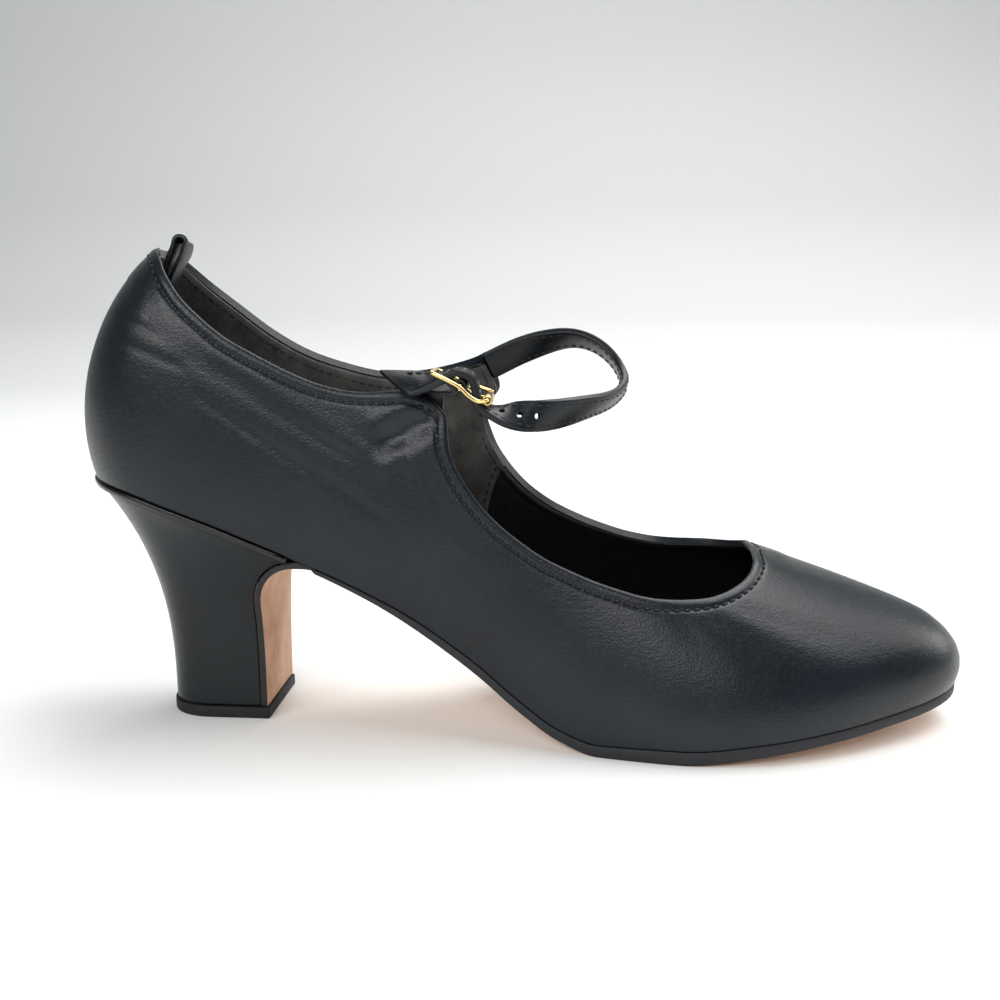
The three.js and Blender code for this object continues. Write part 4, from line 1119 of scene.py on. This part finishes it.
def make_sole():
    """The outsole: one strip of leather from the toe to the heel and down its breast."""
    sections = []
    for n in range(FLAP_STEPS):
        z = HEEL_FOOT + (CORNER_Z - TOP_PIECE_THICKNESS - GAP) * n / FLAP_STEPS
        sections.append(((BREAST_AT, z), (BREAST_AT - FLAP_THICKNESS, z), None))
    for n in range(CORNER_STEPS):
        angle = math.pi + (CORNER_ANGLE - math.pi) * n / CORNER_STEPS
        near, far = [
            (CORNER_X + radius * math.cos(angle), CORNER_Z + radius * math.sin(angle))
            for radius in (BREAST_RADIUS, BREAST_RADIUS + FLAP_THICKNESS)
        ]
        sections.append((near, far, None))
    for n in range(SOLE_STEPS + 1):
        share = n / SOLE_STEPS
        rounded = (1 - math.cos(math.pi * (0.5 + share / 2))) - 1
        share = (1 - TOE_CROWDING) * share + TOE_CROWDING * rounded
        x = CORNER_END + (TOE_END - CORNER_END) * share
        sections.append(((x, bottom_height(x)), (x, feather_height(x) - GAP), x))
    rings = []
    for (low_x, low_z), (high_x, high_z), x in sections:
        if x is None:
            ys = [flap_side(side, low_z) for side in SIDES]
        else:
            ys = [plan_point(side, x)[0].y for side in SIDES]
        rings.append([
            Vector((low_x, ys[0], low_z)), Vector((high_x, ys[0], high_z)),
            Vector((high_x, ys[1], high_z)), Vector((low_x, ys[1], low_z)),
        ])
    bm = lofted(rings)
    toe = to_frame(Vector((TOE_END - DYED_TOE, 0, 0))).x
    for face in bm.faces:
        at_toe = face.calc_center_median().x > toe and abs(face.normal.z) < 0.5
        face.material_index = int(abs(face.normal.y) > 0.5 or face.normal.z > 0.5 or at_toe)
    piece = add_piece("sole_leather", bm, sole_tan, edge_paint)
    soften_edges(piece, 0.3, 50)
    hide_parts("outsole")


make_sole()


TIP_STEPS = 24


def make_top_piece():
    centre = TIP_BACK + TOP_PIECE_LENGTH / 2
    half = []
    for n in range(TIP_STEPS + 1):
        from_back = HEEL_CORNER * (1 - math.cos(math.pi / 2 * n / TIP_STEPS))
        half.append((TIP_BACK + from_back, tip_half_width(from_back)))
    half.append((BREAST_AT, TOP_PIECE_WIDTH / 2))
    grow_x = 1 + 2 * TOP_PIECE_LIP / TOP_PIECE_LENGTH
    grow_y = 1 + 2 * TOP_PIECE_LIP / TOP_PIECE_WIDTH
    outline = [(centre + (x - centre) * grow_x, y * grow_y) for x, y in half]
    outline += [(x, -y) for x, y in outline[1:][::-1]]
    rings = [[Vector((x, y, z)) for x, y in outline] for z in (0, TOP_PIECE_THICKNESS)]
    piece = add_piece("heel_top_piece", lofted(rings), top_rubber)
    soften_edges(piece, 0.35, 50)
    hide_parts("top_piece")


make_top_piece()
for material_slot in frame["nodes"]["insole"].material_slots:
    material_slot.material = vamp_lining

# Strap loop: share of LENGTH, share of BALL_WIDTH, height over the root as a share of BACK_HEIGHT,
# and the turn of the strap's upper edge in degrees.
STRAP_LOOP = [
    (0.460, 0.177, 0.004, 12), (0.491, 0.177, 0.063, 20), (0.519, 0.172, 0.102, 38),
    (0.541, 0.162, 0.123, 50), (0.560, 0.144, 0.122, 58), (0.582, 0.115, 0.091, 66),
    (0.600, 0.082, 0.027, 76), (0.608, 0.038, -0.029, 84), (0.609, -0.019, -0.076, 94),
    (0.595, -0.122, -0.122, 122), (0.573, -0.212, -0.135, 137), (0.552, -0.282, -0.146, 151),
    (0.537, -0.321, -0.152, 163), (0.515, -0.358, -0.156, 187), (0.496, -0.368, -0.152, 220),
]
# Way through the buckle and out to the free tail: shares of BAR_SPACING, of the height over the
# centre bar and of STRAP_WIDTH, and the turn in degrees.
STRAP_BUCKLE = [
    (1.440, -0.790, 0.00, 258), (1.000, -0.855, 0.00, 268), (0.727, -0.580, 0.00, 270),
    (0.468, 0.400, 0.00, 270), (0.234, 0.900, 0.00, 270), (0.000, 1.000, 0.00, 270),
    (-0.300, 0.800, 0.00, 270), (-0.570, 0.060, -0.01, 264), (-1.000, -0.930, -0.04, 247),
    (-1.430, -1.600, -0.09, 229), (-1.960, -2.330, -0.16, 219),
]
BUCKLE_AT, BUCKLE_SIDE, BUCKLE_OVER, BUCKLE_FALL = 0.441, -0.359, -0.030, 26.6
RAIL = [(-1.00, 0.00), (0.00, 0.00), (0.40, 0.35), (0.76, 0.42), (1.00, 0.00)]
# Tongue of the buckle tab: back, side and down as shares of TAB_LENGTH, and its width's direction.
TONGUE = [
    (0.025, 0.000, 0.100, 0.00, 1.00), (0.300, 0.117, 0.150, 0.15, 1.00),
    (0.533, 0.367, 0.150, 0.60, 0.80), (0.717, 0.650, 0.100, 1.00, 0.15),
    (0.758, 0.735, 0.330, 1.00, 0.00), (0.783, 0.640, 0.767, 1.00, 0.00),
    (0.800, 0.560, 1.100, 1.00, 0.00),
]
# Pull tab: shares of PULL_TAB_LENGTH ahead of the back end and over the collar.
PULL_TAB = [
    (-0.522, -1.020), (-0.382, -0.680), (-0.252, -0.410), (-0.142, -0.200), (-0.062, -0.060),
    (0.048, -0.080), (0.018, -0.250), (-0.102, -0.460), (-0.232, -0.730), (-0.362, -1.020),
]


root_height = (edge_height(INNER_COLLAR[-1]) + edge_height(INNER_THROAT[0])) / 2
buckle_centre = Vector((
    BUCKLE_AT * LENGTH, BUCKLE_SIDE * BALL_WIDTH, root_height + BUCKLE_OVER * BACK_HEIGHT,
))
fall = math.radians(BUCKLE_FALL)
frame_along = Vector((math.cos(fall), 0, -math.sin(fall)))
frame_over = Vector((math.sin(fall), 0, math.cos(fall)))
RAIL_OFFSET = STRAP_WIDTH / 2 + FRAME_SIDE_CLEARANCE + BAR_DIAMETER / 2
SLACK = 0.4
LOOP_OUTER = BAR_DIAMETER / 2 + GAP + TAB_THICKNESS
OVER_LOOP = LOOP_OUTER + SLACK + STRAP_THICKNESS / 2


def buckle_spot(along, over, side=0):
    return buckle_centre + frame_along * along + frame_over * over + Vector((0, side, 0))


ROOT_OVERLAP = 1.4
TWIST_SOFTENING = 45
STRAP_STEPS = 260
# Shares of the strap between which its path is softened, from past the root to the roller.
SOFT_FROM, SOFT_TO = 1 / 12, 0.625


def strap_line():
    """Places along the strap, and the direction of its width at each."""
    rows = [
        (Vector((at * LENGTH, side * BALL_WIDTH, root_height + over * BACK_HEIGHT)), lean)
        for at, side, over, lean in STRAP_LOOP
    ] + [
        (buckle_spot(along * BAR_SPACING, over * OVER_LOOP, side * STRAP_WIDTH), lean)
        for along, over, side, lean in STRAP_BUCKLE
    ]
    root_run = (rows[1][0] - rows[0][0]).normalized()
    rows[0] = (rows[0][0] - root_run * ROOT_OVERLAP, rows[0][1])
    steps = STRAP_STEPS
    places = threaded([place for place, _ in rows], steps)
    leans = threaded([Vector((lean, 0, 0)) for _, lean in rows], steps)
    acrosses = []
    for i in range(steps + 1):
        run = (places[min(i + 1, steps)] - places[max(i - 1, 0)]).normalized()
        outward = Vector((-run.z, 0, run.x)).normalized()
        lean = math.radians(leans[i].x)
        acrosses.append(outward * math.cos(lean) + run.cross(outward) * math.sin(lean))
    first, last = int(steps * SOFT_FROM), int(steps * SOFT_TO)
    for _ in range(TWIST_SOFTENING):
        places = places[:first] + [
            (places[i - 1] + 2 * places[i] + places[i + 1]) / 4 for i in range(first, last)
        ] + places[last:]
        acrosses = [acrosses[0]] + [
            (acrosses[i - 1] + 2 * acrosses[i] + acrosses[i + 1]).normalized()
            for i in range(1, steps)
        ] + [acrosses[-1]]
    return places, acrosses


strap_places, strap_acrosses = strap_line()
# The tail's far edge reaches this share of STRAP_WIDTH further, over this many last sections.
TAIL_SLANT, TAIL_RINGS = 0.9, 20
STRAP_ROUNDING = 0.45
STRAP_STITCH_FROM_EDGE = 1.3
STRAP_STITCH_PITCH = 2.2
# Steps without stitches at the root and at the tail.
BARE_ROOT, BARE_TAIL = 6, 4
HOLE_PITCH = 4.3
HOLE_DIAMETER = 1.6
FIRST_HOLE_AT = 5
HOLE_COUNT = 3


def strap_holes():
    """Places of the free holes, counted forward from the roller, with the strap's face."""
    roller = buckle_spot(BAR_SPACING, -ROLLER_DIAMETER / 2 - SLACK - STRAP_THICKNESS / 2)
    start = min(range(STRAP_STEPS), key=lambda k: (strap_places[k] - roller).length)
    found, walked = [], 0
    for i in range(start, 0, -1):
        step = strap_places[i] - strap_places[i - 1]
        walked += step.length
        if len(found) < HOLE_COUNT and walked >= FIRST_HOLE_AT + len(found) * HOLE_PITCH:
            run = step.normalized()
            found.append((strap_places[i], squared(strap_acrosses[i], run).cross(run)))
    return found


def strap_section(i):
    """Direction of the strap's width and of its face at one step."""
    run = (strap_places[min(i + 1, STRAP_STEPS)] - strap_places[max(i - 1, 0)]).normalized()
    across = squared(strap_acrosses[i], run)
    return across, across.cross(run)


def pierce(piece, holes, diameter, depth):
    """Cuts round holes through a piece, and keeps their rims sharp."""
    bores = bmesh.new()
    for place, face in holes:
        turn = face.to_track_quat("Z", "Y").to_matrix().to_4x4()
        bmesh.ops.create_cone(
            bores, cap_ends=True, segments=20, radius1=diameter / 2 * MM,
            radius2=diameter / 2 * MM, depth=depth * MM,
            matrix=Matrix.Translation(to_frame(place)) @ turn,
        )
    bore_mesh = bpy.data.meshes.new("bores")
    bores.to_mesh(bore_mesh)
    bores.free()
    bore = bpy.data.objects.new("bores", bore_mesh)
    bpy.context.collection.objects.link(bore)
    cut = piece.modifiers.new("holes", "BOOLEAN")
    cut.object = bore
    cut.solver = "EXACT"
    graph = bpy.context.evaluated_depsgraph_get()
    pierced = bpy.data.meshes.new_from_object(piece.evaluated_get(graph))
    piece.modifiers.clear()
    piece.data = pierced
    pierced.set_sharp_from_angle(angle=math.radians(50))
    bpy.data.objects.remove(bore)


def make_strap():
    rings = ribbon_rings(
        strap_places, strap_acrosses, STRAP_WIDTH, STRAP_THICKNESS, STRAP_ROUNDING, TAIL_SLANT,
        TAIL_RINGS,
    )
    piece = add_piece("instep_strap", lofted(rings), strap_calf)
    pierce(piece, strap_holes(), HOLE_DIAMETER, 3 * STRAP_THICKNESS)
    rows = []
    half = STRAP_WIDTH / 2 - STRAP_STITCH_FROM_EDGE
    for edge in (-half, half):
        for front in (-1, 1):
            line = []
            for i in range(BARE_ROOT, STRAP_STEPS - BARE_TAIL):
                across, face = strap_section(i)
                line.append(strap_places[i] + across * edge + face * front * STRAP_THICKNESS / 2)
            for place, run in spaced(line, STRAP_STITCH_PITCH, 1):
                i = min(range(STRAP_STEPS), key=lambda k: (strap_places[k] - place).length_squared)
                rows.append((place, run, strap_section(i)[1] * front))
    make_stitches("strap_stitches", rows, length=1.6, width=0.5)
    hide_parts("strap")


make_strap()


# The roller's rounded edge, how far the prong's tip lies past the roller's bar, and where the
# prong leaves its eye, along and over the centre bar.
ROLLER_EDGE = 0.2
PRONG_REACH = 0.3
PRONG_START = (0.9, 1.1)


def around_bar(along, radius, angle, side=0):
    """Place round a bar of the buckle that lies along millimetres from the centre bar."""
    return buckle_spot(along + radius * math.cos(angle), radius * math.sin(angle), side)


def make_buckle():
    rail = threaded([
        buckle_spot(along * BAR_SPACING, -dip * ROLLER_DIAMETER, -RAIL_OFFSET)
        for along, dip in RAIL
    ], 24)
    far_rail = [place + Vector((0, 2 * RAIL_OFFSET, 0)) for place in rail]
    loop = rail + [rail[-1].lerp(far_rail[-1], n / 8) for n in range(1, 8)]
    loop += far_rail[::-1] + [far_rail[0].lerp(rail[0], n / 8) for n in range(1, 8)]
    ring = add_piece("buckle_ring", lofted(bar_rings(loop, BAR_DIAMETER, closed=True), True), gilt)
    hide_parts("buckle_frame")
    bar = [buckle_spot(0, 0, -RAIL_OFFSET), buckle_spot(0, 0, RAIL_OFFSET)]
    centre_bar = add_piece("buckle_centre_bar", lofted(bar_rings(bar, BAR_DIAMETER)), gilt)
    half = RAIL_OFFSET - BAR_DIAMETER / 2 - GAP
    inner, outer = BAR_DIAMETER / 2 + GAP, ROLLER_DIAMETER / 2
    profile = [
        (inner, -half), (outer - ROLLER_EDGE, -half), (outer, ROLLER_EDGE - half),
        (outer, half - ROLLER_EDGE), (outer - ROLLER_EDGE, half), (inner, half),
    ]
    sections = [
        [around_bar(BAR_SPACING, radius, math.tau * k / 32, side) for radius, side in profile]
        for k in range(32)
    ]
    roller = add_piece("buckle_tube", lofted(sections, True), gilt)
    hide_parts("buckle_roller")
    radius = BAR_DIAMETER / 2 + GAP + PRONG_DIAMETER / 2
    eye = [around_bar(0, radius, math.radians(60 + 22 * k)) for k in range(15)]
    tip = buckle_spot(
        BAR_SPACING + PRONG_REACH, ROLLER_DIAMETER / 2 + SLACK + PRONG_DIAMETER / 2,
    )
    start = buckle_spot(*PRONG_START)
    path = eye[1:][::-1] + [start.lerp(tip, n / 6) for n in range(1, 7)]
    prong = add_piece("buckle_pin", lofted(bar_rings(path, PRONG_DIAMETER)), gilt)
    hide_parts("buckle_prong")


make_buckle()


TAB_ROUNDING = 0.25


def make_buckle_stay():
    places = threaded([
        buckle_centre + Vector((-back, side, -down)) * TAB_LENGTH
        for back, side, down, _, _ in TONGUE
    ], 40)
    acrosses = threaded([
        Vector((ahead, across, 0)).normalized() for *_, ahead, across in TONGUE
    ], 40)
    radius = LOOP_OUTER - TAB_THICKNESS / 2
    wrap = [around_bar(0, radius, math.radians(250 - 22 * k)) for k in range(14)]
    path = wrap[::-1] + places[4:]
    widths = [Vector((0, 1, 0))] * len(wrap) + acrosses[4:]
    rings = ribbon_rings(path, widths, STRAP_WIDTH - 0.6, TAB_THICKNESS, TAB_ROUNDING)
    tab = add_piece("buckle_stay", lofted(rings), strap_calf)
    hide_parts("buckle_tab")


make_buckle_stay()


def make_pull_tab():
    collar = edge_height(OUTER_COLLAR[0])
    wall = [last_point("outer", HEEL_END, n / 640, WALL) for n in range(641)]
    inside = next(point.x for point in wall if point.z > collar)
    places = threaded([
        Vector((inside + ahead * PULL_TAB_LENGTH, 0, collar + up * PULL_TAB_LENGTH))
        for ahead, up in PULL_TAB
    ], 60)
    acrosses = [
        Vector((0, 1, -clamped((place.z - collar) / PULL_TAB_LENGTH + 0.5, 0, 0.5)))
        for place in places
    ]
    rings = ribbon_rings(places, acrosses, PULL_TAB_WIDTH, PULL_TAB_THICKNESS, TAB_ROUNDING)
    pull = add_piece("heel_pull_tab", lofted(rings), strap_calf)
    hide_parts("pull_tab")


make_pull_tab()


# Stage: a white floor that sweeps up into a pale backdrop, soft light, and the camera.
def make_stage():
    bm = bmesh.new()
    profile = [(-2.0, 0), (0.9, 0), (1.3, 0.06), (1.6, 0.22), (1.8, 0.5), (1.9, 1.0), (1.95, 3.0)]
    verts = [bm.verts.new((-4, y, z)) for y, z in profile]
    edges = [bm.edges.new(pair) for pair in zip(verts, verts[1:])]
    made = bmesh.ops.extrude_edge_only(bm, edges=edges)["geom"]
    moved = [item for item in made if isinstance(item, bmesh.types.BMVert)]
    bmesh.ops.translate(bm, verts=moved, vec=(8, 0, 0))
    bmesh.ops.recalc_face_normals(bm, faces=bm.faces[:])
    mesh = bpy.data.meshes.new("sweep")
    bm.to_mesh(mesh)
    bm.free()
    for face in mesh.polygons:
        face.use_smooth = True
    sweep = bpy.data.objects.new("sweep", mesh)
    bpy.context.collection.objects.link(sweep)
    paper, _, _ = material("paper_white", {"Base Color": colour("f4f5f3"), "Roughness": 0.9})
    mesh.materials.append(paper)


make_stage()


def soft_light(name, place, aim, size, power, size_y=None):
    """A rectangular lamp that points from place to aim, both in metres."""
    data = bpy.data.lights.new(name, "AREA")
    data.shape = "RECTANGLE"
    data.size = size
    data.size_y = size_y or size
    data.energy = power
    lamp = bpy.data.objects.new(name, data)
    lamp.location = place
    lamp.rotation_euler = (Vector(aim) - Vector(place)).to_track_quat("-Z", "Y").to_euler()
    bpy.context.collection.objects.link(lamp)


soft_light("overhead", (0.4, 0.3, 1.2), (0.05, 0.02, 0), 1.6, 22, 0.9)
soft_light("front_strip", (-0.5, -1.15, 0.85), (0, 0, 0.06), 1.6, 15, 0.35)
soft_light("side_window", (1.5, 0.7, 0.7), (0.08, 0, 0.05), 0.8, 8)
world = bpy.data.worlds.new("studio")
world.use_nodes = True
world.node_tree.nodes["Background"].inputs["Color"].default_value = colour("dfe6ec")
world.node_tree.nodes["Background"].inputs["Strength"].default_value = 0.2
bpy.context.scene.world = world
bpy.context.scene.view_settings.view_transform = "Standard"

# The camera stands where the photograph's perspective puts it. Its angles are in degrees, and its
# lens and the width of its picture in millimetres.
CAMERA_PLACE = Vector((141.0, -326.9, 123.9))
CAMERA_DOWN, CAMERA_LEFT = 10.94, 4.44
CAMERA_LENS, CAMERA_SENSOR = 43.2, 36
camera_data = bpy.data.cameras.new("camera")
camera_data.sensor_width = CAMERA_SENSOR
camera_data.lens = CAMERA_LENS
camera = bpy.data.objects.new("camera", camera_data)
camera.location = to_frame(CAMERA_PLACE)
camera.rotation_euler = (math.radians(90 - CAMERA_DOWN), 0, math.radians(CAMERA_LEFT))
bpy.context.collection.objects.link(camera)
bpy.context.scene.camera = camera
